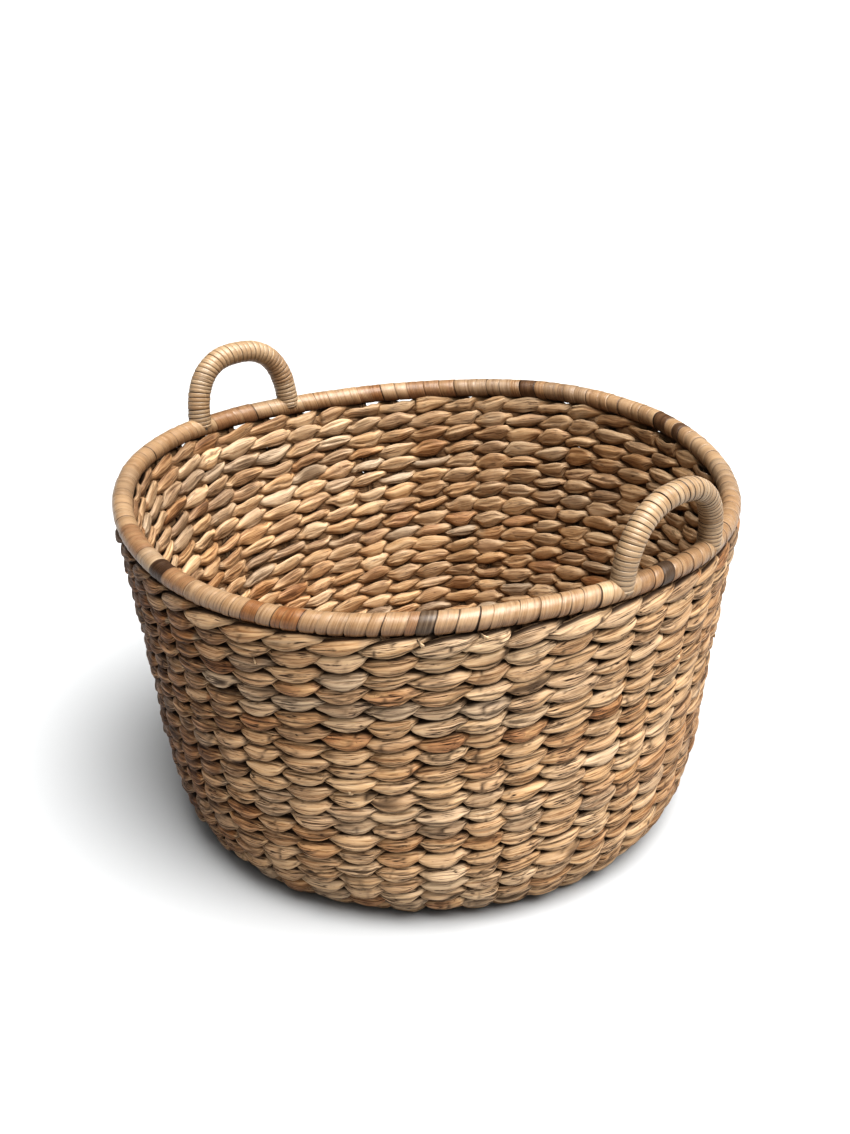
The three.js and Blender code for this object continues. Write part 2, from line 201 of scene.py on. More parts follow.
class Piece:
    """Collects grids of points into one mesh, with fibre coordinates, leaf colours and a flat layout of every face."""

    def __init__(self, name):
        self.name = name
        self.grids = []

    def grid(self, points, fibre, leaf, round_u=False, round_v=True, size=None, ends=True, calm=0.0):
        """points and fibre are (nu, nv, 3), leaf is (nu, nv, 4). u runs along the leaf and v round it."""
        d = np.linalg.norm(np.diff(points, axis=0), axis=2).mean(1).sum() if size is None else size[0]
        e = np.linalg.norm(np.diff(points, axis=1), axis=2).sum(1).mean() if size is None else size[1]
        calm = np.broadcast_to(np.asarray(calm, float), points.shape[:2])
        if round_v:
            # a section that runs the wrong way round is turned over, so that every face looks outward
            middle = points.mean(1)
            along = np.roll(middle, -1, 0) - np.roll(middle, 1, 0)
            if not round_u:
                along[0], along[-1] = middle[1] - middle[0], middle[-1] - middle[-2]
            spoke = points - middle[:, None]
            if (np.cross(spoke, np.roll(spoke, -1, 1)).sum(1) * along).sum() > 0:
                points, fibre, leaf, calm = points[:, ::-1], fibre[:, ::-1], leaf[:, ::-1], calm[:, ::-1]
        self.grids.append((points, fibre, leaf, round_u, round_v, float(d), float(e), ends, calm))

    def make(self, material, nodes=()):
        co, fib, leaf, still, quads, caps = [], [], [], [], [], []
        strips = []  # (first quad, last quad + 1, nu faces, nv faces, length, width)
        start = 0
        nq = 0
        for points, fibre, lf, ru, rv, length, width, ends, calm in self.grids:
            nu, nv = points.shape[:2]
            co.append(points.reshape(-1, 3))
            fib.append(fibre.reshape(-1, 3))
            leaf.append(lf.reshape(-1, 4))
            still.append(calm.reshape(-1))
            iu = np.arange(nu if ru else nu - 1)
            iv = np.arange(nv if rv else nv - 1)
            a = iu[:, None] * nv + iv[None, :]
            b = ((iu[:, None] + 1) % nu) * nv + iv[None, :]
            c = ((iu[:, None] + 1) % nu) * nv + (iv[None, :] + 1) % nv
            d = iu[:, None] * nv + (iv[None, :] + 1) % nv
            q = np.stack([a, b, c, d], -1).reshape(-1, 4) + start
            quads.append(q)
            strips.append((len(iu), len(iv), length, width))
            if rv and not ru and ends:
                caps.append((start + np.arange(nv), width))
                caps.append((start + (nu - 1) * nv + np.arange(nv)[::-1], width))
            start += nu * nv
            nq += len(q)
        co = np.concatenate(co)
        quads = np.concatenate(quads)
        # the layout: every grid is cut into stretches of one length, and the stretches are stacked
        gap = 0.6
        span = 20.0
        while True:
            rows = sum(math.ceil(length / span - 1e-6) * (width + gap) for _, _, length, width in strips)
            rows += (math.ceil(len(caps) / 8) * 8.0) if caps else 0
            if rows <= span:
                break
            span *= 1.02
        scale = 0.985 / span
        uvs = []
        y = 0.0
        for nu, nv, length, width in strips:
            parts = math.ceil(length / span - 1e-6)
            at = np.arange(nu) * parts / nu
            part = np.floor(at + 1e-9).astype(int)
            first = np.ceil(np.arange(parts) * nu / parts - 1e-9)
            x0 = (np.arange(nu) - first[part]) * (length / nu)
            x1 = x0 + length / nu
            yy = y + part * (width + gap)
            v0 = np.arange(nv) * width / nv
            v1 = v0 + width / nv
            box = np.empty((nu, nv, 4, 2))
            box[:, :, 0, 0] = box[:, :, 3, 0] = x0[:, None]
            box[:, :, 1, 0] = box[:, :, 2, 0] = x1[:, None]
            box[:, :, 0, 1] = box[:, :, 1, 1] = yy[:, None] + v0[None, :]
            box[:, :, 2, 1] = box[:, :, 3, 1] = yy[:, None] + v1[None, :]
            uvs.append(box.reshape(-1, 2))
            y += parts * (width + gap)
        cap_loops, cap_uv = [], []
        for k, (ring, width) in enumerate(caps):
            cx, cy = (k % 8 + 0.5) * span / 8 * 0.98, y + (k // 8) * 8.0 + 4.0
            a = np.arange(len(ring)) * TAU / len(ring)
            rr = min(3.2, span / 18)
            cap_loops.append(ring)
            cap_uv.append(np.stack([cx + rr * np.cos(a), cy + rr * np.sin(a)], -1))
        mesh = bpy.data.meshes.new(self.name)
        mesh.vertices.add(len(co))
        mesh.vertices.foreach_set("co", (co / 1000).astype(np.float32).ravel())
        loops = np.concatenate([quads.ravel()] + cap_loops)
        mesh.loops.add(len(loops))
        mesh.loops.foreach_set("vertex_index", loops.astype(np.int32))
        sizes = np.concatenate([np.full(len(quads), 4)] + [[len(c)] for c in cap_loops]).astype(np.int32)
        starts = np.concatenate([[0], np.cumsum(sizes)[:-1]]).astype(np.int32)
        mesh.polygons.add(len(sizes))
        mesh.polygons.foreach_set("loop_start", starts)
        mesh.update(calc_edges=True)
        uv = mesh.uv_layers.new(name="OFBake")
        flat = np.concatenate(uvs + cap_uv) * scale + 0.006
        uv.data.foreach_set("uv", flat.astype(np.float32).ravel())
        at = mesh.attributes.new("fibre", "FLOAT_VECTOR", "POINT")
        at.data.foreach_set("vector", np.concatenate(fib).astype(np.float32).ravel())
        at = mesh.attributes.new("leaf", "FLOAT_COLOR", "POINT")
        at.data.foreach_set("color", np.concatenate(leaf).astype(np.float32).ravel())
        at = mesh.attributes.new("calm", "FLOAT", "POINT")
        at.data.foreach_set("value", np.concatenate(still).astype(np.float32))
        mesh.polygons.foreach_set("use_smooth", np.ones(len(sizes), bool))
        mesh.validate()
        mesh.update()
        ob = bpy.data.objects.new(self.name, mesh)
        bpy.context.scene.collection.objects.link(ob)
        mesh.materials.append(material)
        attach(ob, "root")
        if nodes:
            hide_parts(*nodes)
        return ob


# ---------------------------------------------------------------- materials


class Tree:
    def __init__(self, name):
        self.mat = bpy.data.materials.new(name)
        self.mat.use_nodes = True
        self.nt = self.mat.node_tree
        self.nt.nodes.clear()

    def add(self, kind, inputs=None, **props):
        n = self.nt.nodes.new(kind)
        for k, v in props.items():
            setattr(n, k, v)
        for k, v in (inputs or {}).items():
            sock = n.inputs[k]
            if isinstance(v, bpy.types.NodeSocket):
                self.nt.links.new(v, sock)
            else:
                sock.default_value = v
        return n

    def math(self, op, a, b=None, c=None, clamp=False):
        n = self.add("ShaderNodeMath", operation=op, use_clamp=clamp)
        for i, v in enumerate((a, b, c)):
            if v is None:
                continue
            if isinstance(v, bpy.types.NodeSocket):
                self.nt.links.new(v, n.inputs[i])
            else:
                n.inputs[i].default_value = v
        return n.outputs[0]

    def remap(self, value, a, b, c, d, smooth=False):
        n = self.add(
            "ShaderNodeMapRange",
            {"Value": value, "From Min": a, "From Max": b, "To Min": c, "To Max": d},
            interpolation_type="SMOOTHSTEP" if smooth else "LINEAR",
        )
        return n.outputs[0]

    def mix(self, factor, a, b, blend="MIX"):
        n = self.add("ShaderNodeMix", data_type="RGBA", blend_type=blend)
        for i, v in ((0, factor), (6, a), (7, b)):
            if isinstance(v, bpy.types.NodeSocket):
                self.nt.links.new(v, n.inputs[i])
            else:
                n.inputs[i].default_value = v if i == 0 else (*v, 1.0)
        return n.outputs[2]

    def ramp(self, factor, stops):
        n = self.add("ShaderNodeValToRGB", {"Fac": factor})
        cr = n.color_ramp
        while len(cr.elements) < len(stops):
            cr.elements.new(0.5)
        for e, (p, c) in zip(cr.elements, stops):
            e.position = p
            e.color = (*c, 1.0)
        return n.outputs["Color"]

    def noise(self, vector, scale, detail=3.0, rough=0.55, distortion=0.0):
        n = self.add(
            "ShaderNodeTexNoise",
            {"Vector": vector, "Scale": scale, "Detail": detail, "Roughness": rough, "Distortion": distortion},
        )
        return n.outputs["Fac"]


def srgb(r, g, b):
    return tuple((v / 255 / 12.92) if v <= 10 else ((v / 255 + 0.055) / 1.055) ** 2.4 for v in (r, g, b))


def leaf_material(name, gain=0.92, warm=0.0, rough=0.50, fine=1.0, streak=1.0, sheen=0.0, bump=1.0, stretch=1.0, lines=1.0, rust_from=0.62, gloss=0.40):
    """Dried leaf: fibres and faint creases along it, streaks and blotches of brown, grey patches, dark slits."""
    t = Tree(name)
    fib = t.add("ShaderNodeAttribute", attribute_type="GEOMETRY", attribute_name="fibre").outputs["Vector"]
    leaf = t.add("ShaderNodeAttribute", attribute_type="GEOMETRY", attribute_name="leaf")
    parts = t.add("ShaderNodeSeparateColor", {"Color": leaf.outputs["Color"]})
    tone, brown, grey = parts.outputs[0], parts.outputs[1], parts.outputs[2]
    # the leaf colours' alpha is painted shade in creases, hollows, turn edges and hidden sides, and for the rim's
    # accent leaves also their own darker colour
    darkening_and_painted_shade = leaf.outputs["Alpha"]
    calm = t.add("ShaderNodeAttribute", attribute_type="GEOMETRY", attribute_name="calm").outputs["Fac"]
    lively = t.remap(calm, 0.0, 1.0, 1.0, 0.62)

    def scaled(x, y, at=(0, 0, 0)):
        n = t.add("ShaderNodeMapping", {"Vector": fib})
        n.inputs["Scale"].default_value = (x, y, y)
        n.inputs["Location"].default_value = at
        return n.outputs["Vector"]

    long_streaks = t.noise(scaled(0.022 * stretch, 0.62 * streak), 1.0, 4.0, 0.62, 0.25)
    fibres = t.noise(scaled(0.05 * stretch, 2.1 * fine, (31, 7, 3)), 1.0, 3.0, 0.6, 0.1)
    hairs = t.noise(scaled(0.16 * stretch, 6.0 * fine, (5, 91, 17)), 1.0, 2.0, 0.6)
    blotch = t.noise(scaled(0.05, 0.13, (77, 13, 29)), 1.0, 3.0, 0.6, 0.4)
    speck = t.noise(scaled(0.35, 0.75, (3, 41, 59)), 1.0, 2.0, 0.7)
    creases = t.noise(scaled(0.026 * stretch, 0.62 * streak, (11, 51, 23)), 1.0, 2.0, 0.5, 0.25)
    # a narrow dark line where the crease noise crosses its middle
    line = t.math("ABSOLUTE", t.math("SUBTRACT", creases, 0.5))
    line = t.remap(line, 0.0, 0.052, 1.0, 0.0, smooth=True)
    line = t.math("MULTIPLY", line, t.remap(blotch, 0.44, 0.58, 0.0, 1.0, smooth=True))
    threads = t.noise(scaled(0.034 * stretch, 1.25 * streak, (61, 23, 87)), 1.0, 2.0, 0.5, 0.2)
    thread = t.remap(t.math("ABSOLUTE", t.math("SUBTRACT", threads, 0.5)), 0.0, 0.060, 1.0, 0.0, smooth=True)
    thread = t.math("MULTIPLY", thread, t.remap(long_streaks, 0.38, 0.52, 0.62, 0.0, smooth=True))
    line = t.math("MULTIPLY", t.math("MAXIMUM", line, thread), lively)

    shade = t.math("ADD", tone, t.math("MULTIPLY", t.math("SUBTRACT", long_streaks, 0.5), 1.25))
    shade = t.math("ADD", shade, t.math("MULTIPLY", t.math("SUBTRACT", fibres, 0.5), 0.75))
    shade = t.math("ADD", shade, t.math("MULTIPLY", t.math("SUBTRACT", blotch, 0.5), 0.45))
    g = gain
    colour = t.ramp(
        shade,
        [
            (0.00, tuple(v * g for v in srgb(88, 56, 31))),
            (0.20, tuple(v * g for v in srgb(144, 105, 68))),
            (0.45, tuple(v * g for v in srgb(188, 154, 115))),
            (0.70, tuple(v * g for v in srgb(204, 175, 140))),
            (1.00, tuple(v * g for v in srgb(216, 192, 159))),
        ],
    )
    rust = t.math("MULTIPLY", brown, t.remap(t.math("ADD", blotch, t.math("MULTIPLY", long_streaks, 0.6)), rust_from, rust_from + 0.31, 0.0, 1.0, smooth=True), clamp=True)
    rusty = t.ramp(fibres, [(0.25, tuple(v * g for v in srgb(104, 65, 39))), (0.75, tuple(v * g for v in srgb(184, 134, 91)))])
    colour = t.mix(rust, colour, rusty)
    if warm:
        colour = t.mix(warm, colour, tuple(v * g for v in srgb(198, 138, 84)))
    dull = t.ramp(shade, [(0.1, tuple(v * g for v in srgb(108, 92, 76))), (0.9, tuple(v * g for v in srgb(190, 172, 150)))])
    colour = t.mix(t.math("MULTIPLY", grey, 0.85), colour, dull)
    # painted shade from the alpha, the dark crease lines and the brown specks all pull the colour towards dark brown
    dark = t.math("MAXIMUM", t.math("MULTIPLY", line, 0.95 * lines), darkening_and_painted_shade, clamp=True)
    spots = t.remap(speck, 0.66, 0.74, 0.0, 0.55, smooth=True)
    dark = t.math("MAXIMUM", dark, t.math("MULTIPLY", spots, t.math("ADD", brown, 0.15)), clamp=True)
    colour = t.mix(dark, colour, tuple(v * g for v in srgb(38, 21, 10)))
    high = t.math("ADD", t.math("MULTIPLY", long_streaks, 0.55), t.math("MULTIPLY", fibres, 0.50))
    high = t.math("ADD", high, t.math("MULTIPLY", hairs, 0.16))
    high = t.math("SUBTRACT", high, t.math("MULTIPLY", line, 0.35))
    b = t.add("ShaderNodeBump", {"Strength": 0.75 * bump, "Distance": 0.0011, "Height": high})
    roughness = t.remap(fibres, 0.3, 0.7, rough + 0.10, rough - 0.08)
    roughness = t.math("ADD", roughness, t.math("MULTIPLY", dark, 0.2), clamp=True)
    p = t.add("ShaderNodeBsdfPrincipled", {"Base Color": colour, "Roughness": roughness, "Normal": b.outputs["Normal"]})
    p.inputs["Specular IOR Level"].default_value = gloss
    p.inputs["Sheen Weight"].default_value = sheen
    p.inputs["Sheen Roughness"].default_value = 0.5
    out = t.add("ShaderNodeOutputMaterial", {"Surface": p.outputs["BSDF"]})
    return t.mat


def wire_material():
    t = Tree("drawn_iron_wire")
    at = t.add("ShaderNodeTexCoord").outputs["Object"]
    n1 = t.noise(at, 220.0, 4.0, 0.6)
    n2 = t.noise(at, 1400.0, 2.0, 0.6)
    colour = t.ramp(n1, [(0.3, srgb(92, 84, 76)), (0.6, srgb(140, 134, 128)), (0.8, srgb(120, 84, 60))])
    b = t.add("ShaderNodeBump", {"Strength": 0.4, "Distance": 0.0002, "Height": n2})
    p = t.add("ShaderNodeBsdfPrincipled", {"Base Color": colour, "Roughness": t.remap(n1, 0.3, 0.7, 0.35, 0.6), "Normal": b.outputs["Normal"]})
    p.inputs["Metallic"].default_value = 1.0
    t.add("ShaderNodeOutputMaterial", {"Surface": p.outputs["BSDF"]})
    return t.mat


WEAVE = leaf_material("weave_leaf_dry", gain=0.885, bump=0.85, gloss=0.26)
BASE = leaf_material("base_leaf_dry", gain=0.87, gloss=0.26)
STAKE = leaf_material("stake_leaf_twisted", gain=0.55, rough=0.6)
BUNDLE = leaf_material("hoop_leaf_bundle", gain=0.52, rough=0.65)
WRAP = leaf_material("wrap_leaf_smooth", gain=0.55, warm=0.04, rough=0.32, fine=1.0, streak=1.1, bump=0.4, stretch=0.6, lines=0.35, rust_from=0.52)
LASH = leaf_material("lashing_leaf_smooth", gain=0.55, warm=0.04, rough=0.34, fine=1.0, streak=1.1, bump=0.4, stretch=0.6, lines=0.35, rust_from=0.54)
WIRE = wire_material()

# ---------------------------------------------------------------- twined rows


def leaf_runs(n_units, keys, shortest=4, longest=11):
    """Where one leaf ends and the next begins along a strand: the number of the leaf at each unit."""
    which = np.zeros(n_units, int)
    at, k = 0, 0
    while at < n_units:
        step = int(shortest + (longest - shortest + 1) * float(chance(k, *keys)))
        which[at : at + step] = k
        at += step
        k += 1
    return which


def leaf_look(which, keys, greyness=0.30, brownness=0.22):
    """Tone, brown and grey of each leaf."""
    tone = 0.56 + 0.09 * either(which, *keys, 1) + 0.06 * either(which, *keys, 2)
    r = chance(which, *keys, 3)
    brown = np.where(r < brownness, 0.40 + 0.50 * chance(which, *keys, 4), 0.16 + 0.26 * chance(which, *keys, 5))
    g = chance(which, *keys, 6)
    grey = np.where(g < greyness, 0.36 + 0.46 * chance(which, *keys, 7), 0.14 + 0.20 * chance(which, *keys, 8))
    grey = np.where(r < brownness, grey * 0.2, grey)
    tone = np.where(r < brownness, tone - 0.10, tone)
    return tone, brown, grey


class Profile:
    """One turn of a strand: how deep it lies and where its lower and upper edges are, by stakes from the outside middle."""

    def __init__(self, rows, period=2):
        rows = np.array(rows, float)
        half = period / 2
        x = np.linspace(-half, half, 401)[:-1]
        self.period = period
        kernel = np.exp(-0.5 * (np.arange(-12, 13) * period / 400 / 0.035) ** 2)
        kernel /= kernel.sum()
        self.tables = []
        for c in range(1, rows.shape[1]):
            y = np.interp(x, rows[:, 0], rows[:, c], period=period)
            y = np.convolve(np.concatenate([y[-12:], y, y[:12]]), kernel, "valid")
            self.tables.append(y)

    def read(self, x):
        x = (np.asarray(x, float) / self.period + 0.5) % 1.0 * 400
        i = np.floor(x).astype(int) % 400
        f = x - np.floor(x)
        return [t[i] * (1 - f) + t[(i + 1) % 400] * f for t in self.tables]


# stakes from the outside middle, outer skin, inner skin, lower and upper edge seen from outside, the same from inside
WALL_TURN = Profile([
    (-1.00, -1.4, -8.3, -6.4, 7.0, -6.5, 7.2),
    (-0.80, -1.2, -8.2, -6.2, 5.2, -6.5, 6.0),
    (-0.72, 0.6, -7.9, -5.4, 3.4, -6.3, 5.0),
    (-0.66, 2.6, -7.5, -4.4, 1.6, -6.1, 4.2),
    (-0.60, 3.7, -7.1, -4.4, 1.0, -5.9, 3.4),
    (-0.50, 5.2, -6.0, -5.4, 1.6, -5.5, 2.0),
    (-0.40, 6.4, -4.0, -6.2, 2.6, -5.0, 1.0),
    (-0.25, 7.6, 0.0, -6.9, 4.8, -5.8, 3.4),
    (0.00, 8.1, 1.2, -7.2, 6.4, -6.4, 6.0),
    (0.25, 8.0, 0.4, -5.6, 7.0, -3.0, 7.0),
    (0.40, 7.2, -4.2, -3.2, 6.6, 1.4, 6.2),
    (0.50, 6.3, -6.8, -1.0, 5.8, 0.6, 6.6),
    (0.60, 4.6, -7.6, 1.0, 5.0, -1.4, 7.2),
    (0.68, 2.2, -7.9, 0.6, 5.4, -3.0, 7.6),
    (0.75, 0.6, -8.1, -2.2, 6.4, -4.2, 7.8),
    (0.82, -0.4, -8.2, -4.2, 7.0, -5.2, 7.8),
    (0.90, -1.0, -8.3, -5.4, 7.4, -5.9, 7.6),
    (1.00, -1.4, -8.3, -6.4, 7.0, -6.5, 7.2),
])
TOP_TURN = Profile([
    (-1.00, -1.0, -7.4, -5.5, 6.0, -6.5, 7.0),
    (-0.86, -0.6, -7.2, -6.4, 3.6, -6.6, 6.5),
    (-0.76, 1.8, -6.8, -5.8, 0.6, -6.4, 5.5),
    (-0.66, 4.2, -6.2, -5.6, -0.8, -6.2, 4.5),
    (-0.50, 6.2, -5.0, -6.6, -0.4, -5.8, 2.7),
    (-0.25, 7.6, -0.6, -7.4, 3.2, -5.8, 2.8),
    (0.00, 8.4, 1.2, -6.8, 6.0, -6.0, 6.0),
    (0.25, 8.4, 0.8, -4.4, 7.2, -3.0, 7.0),
    (0.45, 7.4, -3.6, -1.4, 7.0, 1.0, 7.1),
    (0.58, 6.0, -6.0, 0.8, 6.2, -1.0, 7.5),
    (0.67, 4.0, -6.9, 1.8, 5.4, -3.4, 7.9),
    (0.76, 1.6, -7.2, 1.0, 6.0, -4.6, 8.1),
    (0.90, -0.4, -7.4, -2.8, 6.8, -5.8, 7.9),
    (1.00, -1.0, -7.4, -5.5, 6.0, -6.5, 7.0),
])


def strand(piece, row, k, centre, stakes, turn=WALL_TURN, steps=14, sides=44, turns=1, length=28.0, jitter=1.0, seed=0,
           wide=1.0, deep=1.0, drift_s=None, floor_b=None, greyness=0.20, brownness=0.09, tallness=None, proud=None,
           lean_out=0.23, lean_in=-0.22, relief=1.0, slide=0.05, split=1.0):
    """One leaf strand of a twined row, as a closed tube: over a stake outside, behind the next inside."""
    n = len(stakes)
    units = n * turns
    start = int(units * float(chance(row, k, seed, 1))) + 0.5
    nu = units * steps
    u = start + np.arange(nu) / steps
    key = (row, k, seed)
    idx = np.arange(units)
    half = turn.period / 2
    v = (u - k + half) % turn.period - half  # stakes from the middle of the nearest outside stitch
    x = u - np.round(u)
    outer, inner, low, up, low_in, up_in = turn.read(v)
    rho, thick = 0.5 * (outer + inner), 0.5 * (outer - inner)
    outside = 0.5 + 0.5 * np.tanh(rho / 1.2)
    # one set of values per stitch, and the same for the half inside
    stitch = (2 * np.round((u - k) / turn.period)).astype(int)
    stitch = np.where(np.abs(v) > 0.30 * turn.period, 2 * np.floor((u - k) / turn.period).astype(int) + 1, stitch) % (2 * units)
    many = np.arange(2 * units)

    def eased(table):
        y = table[stitch]
        # neighbours are joined by a short slope
        kern = np.ones(5) / 5
        return np.convolve(np.concatenate([y[-2:], y, y[:2]]), kern, "valid")

    def each(number, size):
        return eased(size * either(many, *key, number))

    t = stake_angle(u + each(16, slide * jitter) * (2.4 - 1.4 * outside), stakes)
    mid = 0.5 * (low + up) * wide
    mid_in = 0.5 * (low_in + up_in) * wide
    grow = wide * (1 + each(11, 0.09 * jitter) * (1.7 - 0.7 * outside))
    # inside, a few of the grains are narrow and a few are fat
    thin = eased(np.where(chance(many, *key, 19) < 0.24, 0.30, 0.0) - np.where(chance(many, *key, 19) > 0.86, 0.15, 0.0)) * jitter
    half_h, half_in = 0.5 * (up - low) * grow, 0.530 * (up_in - low_in) * (grow - thin * (1 - outside))
    plump = deep * (1 + each(12, 0.16 * jitter))
    thick = thick * plump
    rho = rho * deep + each(13, 0.65 * jitter) * np.clip(np.abs(rho) / 3, 0, 1)
    stray = each(14, 0.70 * jitter) * (2.5 - 1.5 * outside) + each(17, 0.9 * jitter) * (2.8 - 1.8 * outside) * x
    if drift_s is not None:
        stray = stray + drift_s(t)
    mid, mid_in = mid + stray, mid_in + stray
    if tallness is not None:
        half_h, half_in = half_h * tallness(t), half_in * tallness(t)
    if proud is not None:
        rho = rho + proud(t) * outside
    lean = (lean_in * (outside - 1) + lean_out * outside) + each(15, 0.09 * jitter) * (2.4 - 1.4 * outside)
    a = (np.arange(sides) + 0.5) * TAU / sides
    ca, sa = np.cos(a), np.sin(a)
    A, U = np.meshgrid(a, u)
    L = U * length
    # long folds, and narrow creases which wander along the leaf and die out
    folds = 0.40 * drift2(A * 5 / TAU, L / 26.0, 901 + seed * 7 + row * 31 + k * 3, 5)
    folds = folds + 0.22 * drift2(A * 12 / TAU, L / 17.0, 902 + seed * 5 + row * 37 + k * 5, 12)
    wander = drift2(A * 7 / TAU, L / 19.0, 904 + row * 41 + k * 7 + seed, 7)
    gate = np.clip(0.6 + 1.1 * drift2(A * 4 / TAU, L / 23.0, 905 + row * 43 + k * 7 + seed, 4), 0, 1)
    crease = np.clip(1 - np.abs(wander) / 0.17, 0, 1) * gate
    wander = drift2(A * 13 / TAU, L / 15.0, 906 + row * 47 + k * 7 + seed, 13)
    gate = np.clip(0.5 + 1.1 * drift2(A * 5 / TAU, L / 14.0, 907 + row * 53 + k * 7 + seed, 5), 0, 1)
    hair = np.clip(1 - np.abs(wander) / 0.26, 0, 1) * gate
    # the inside is worn smooth, and its creases are shallow
    calm = np.clip(0.5 - 0.9 * ca, 0, 1)[None, :] * np.ones_like(A)
    crease, hair = crease * (1 - 0.35 * calm), hair * (1 - 0.45 * calm)
    folds = folds * (1 - 0.10 * calm) - 0.66 * crease - 0.24 * hair
    db = thick[:, None] * (np.sign(ca) * np.abs(ca) ** 0.95)[None, :]
    # the side that faces outward and the side that faces inward each have their own outline
    face = np.clip(0.5 + 0.9 * ca, 0, 1)
    face = (face * face * (3 - 2 * face))[None, :]
    mid = mid[:, None] * face + mid_in[:, None] * (1 - face)
    dh = (half_h[:, None] * face + half_in[:, None] * (1 - face)) * (np.sign(sa) * np.abs(sa) ** 0.96)[None, :]
    darkening_and_painted_shade = np.zeros_like(A)
    cut = np.zeros_like(A)
    lip = np.zeros_like(A)
    # how far each side has sunk below the skin of the wall, where it dives between the stakes
    sunk = np.where(ca[None, :] > 0, ((5.2 - outer) / 3.4)[:, None], ((inner + 6.0) / 3.2)[:, None])
    tight = np.clip(sunk, 0, 1)
    for g in range(3):
        for side in (0.0, math.pi):
            share = split * ((0.58, 0.28, 0.12) if side == 0 else (0.40, 0.18, 0.06))[g]
            on = chance(many, *key, 21 + g, int(side)) < share
            much = np.where(on, 0.45 + 0.55 * chance(many, *key, 23 + g, int(side)), 0.0)[stitch]
            where = (0.72 * either(many, *key, 25 + g, int(side)) + 0.05)[stitch]
            slope = (0.55 * either(many, *key, 27 + g, int(side)))[stitch]
            bow = (0.9 * either(many, *key, 29 + g, int(side)))[stitch]
            env = np.clip(1 - tight * 1.1, 0, 1) ** 0.6 * much[:, None]
            line = side + (where + slope * x + bow * x * x) * (1 if side == 0 else -1)
            dist = np.angle(np.exp(1j * (A - line[:, None])))
            cut = np.maximum(cut, np.exp(-((dist / 0.13) ** 2)) * env)
            lip = lip + 0.48 * env * np.exp(-(((dist - 0.30) / 0.26) ** 2))
            # painted shade: darkened along each split in the leaf
            darkening_and_painted_shade = np.maximum(darkening_and_painted_shade, np.exp(-((dist / 0.085) ** 2)) * env**0.6)
    bulge = folds + lip - cut * 0.95
    db = db + np.sign(ca)[None, :] * np.abs(ca)[None, :] ** 0.5 * bulge * relief
    dh = dh * (1 + 0.025 * folds)
    b = rho[:, None] + db - lean[:, None] * dh
    s = centre + mid + dh
    if floor_b is not None:
        b = np.minimum(b, floor_b)
    p = wobble(wall_point(np.broadcast_to(t[:, None], b.shape), s, b))
    p[..., 2] = np.maximum(p[..., 2], 0.25)
    fibre = np.stack([L, np.broadcast_to(4.4 * ca, L.shape), np.broadcast_to(4.4 * sa, L.shape)], -1).copy()
    fibre[..., 0] += 1000.0 * (row * 2 + k) + 77.0 * seed
    fibre[..., 1] += 40.0 * (row + 3 * k)
    which = leaf_runs(units, key)
    tone, brown, grey = leaf_look(which, key, greyness, brownness)
    on_leaf = np.floor(u - 0.5).astype(int) % units
    # each stitch also differs a little from its neighbours on the same leaf
    # painted shade: the tone is lowered on the outside to the left of the front, less on the outside to the right of
    # it, and on the inside at the back left
    dull = np.exp(-((np.angle(np.exp(1j * (t - math.radians(FRONT - 166)))) / math.radians(34)) ** 2)) * outside
    dull = dull * 0.52 + 0.20 * np.exp(-((np.angle(np.exp(1j * (t - math.radians(FRONT - 16)))) / math.radians(30)) ** 2)) * outside
    dull = dull + 0.16 * np.exp(-((np.angle(np.exp(1j * (t - math.radians(FRONT + 158)))) / math.radians(36)) ** 2)) * (1 - outside)
    tone_s = tone[on_leaf] + each(31, 0.08) * (2 - outside) - 0.04 * (1 - outside) - dull
    brown_s = np.clip(brown[on_leaf] * (1 + each(32, 0.8) * (1 - outside)), 0, 1)
    grey_s = np.clip(grey[on_leaf] + (0.14 + each(33, 0.22)) * (1 - outside), 0, 1)
    looks = np.stack([tone_s, brown_s, grey_s, np.zeros(nu)], -1)
    looks = np.broadcast_to(looks[:, None, :], (nu, sides, 4)).copy()
    # painted shade: the creases, the edges that turn under and the ends that dive between the stakes are darkened in
    # the colour
    edge = np.clip((np.abs(sa) - 0.72) / 0.20, 0, 1)
    edge = edge * edge * (3 - 2 * edge)
    # inside the basket the hollows are shallower, and the painted shade in them is weaker, so they keep more of the
    # leaf's colour
    painted_shade_strength = np.where(ca[None, :] > 0, 1.0, 0.20)
    under = np.maximum(edge[None, :] * 0.90 * painted_shade_strength, tight**1.5 * 0.88 * painted_shade_strength)
    under = np.maximum(under, np.maximum(0.90 * crease, 0.62 * hair) * painted_shade_strength)
    looks[..., 3] = np.clip(np.maximum(darkening_and_painted_shade * np.where(ca[None, :] > 0, 0.95, 0.50), under), 0, 1)
    piece.grid(p, fibre, looks, round_u=True, round_v=True, size=(units * length, 30.0), calm=calm)


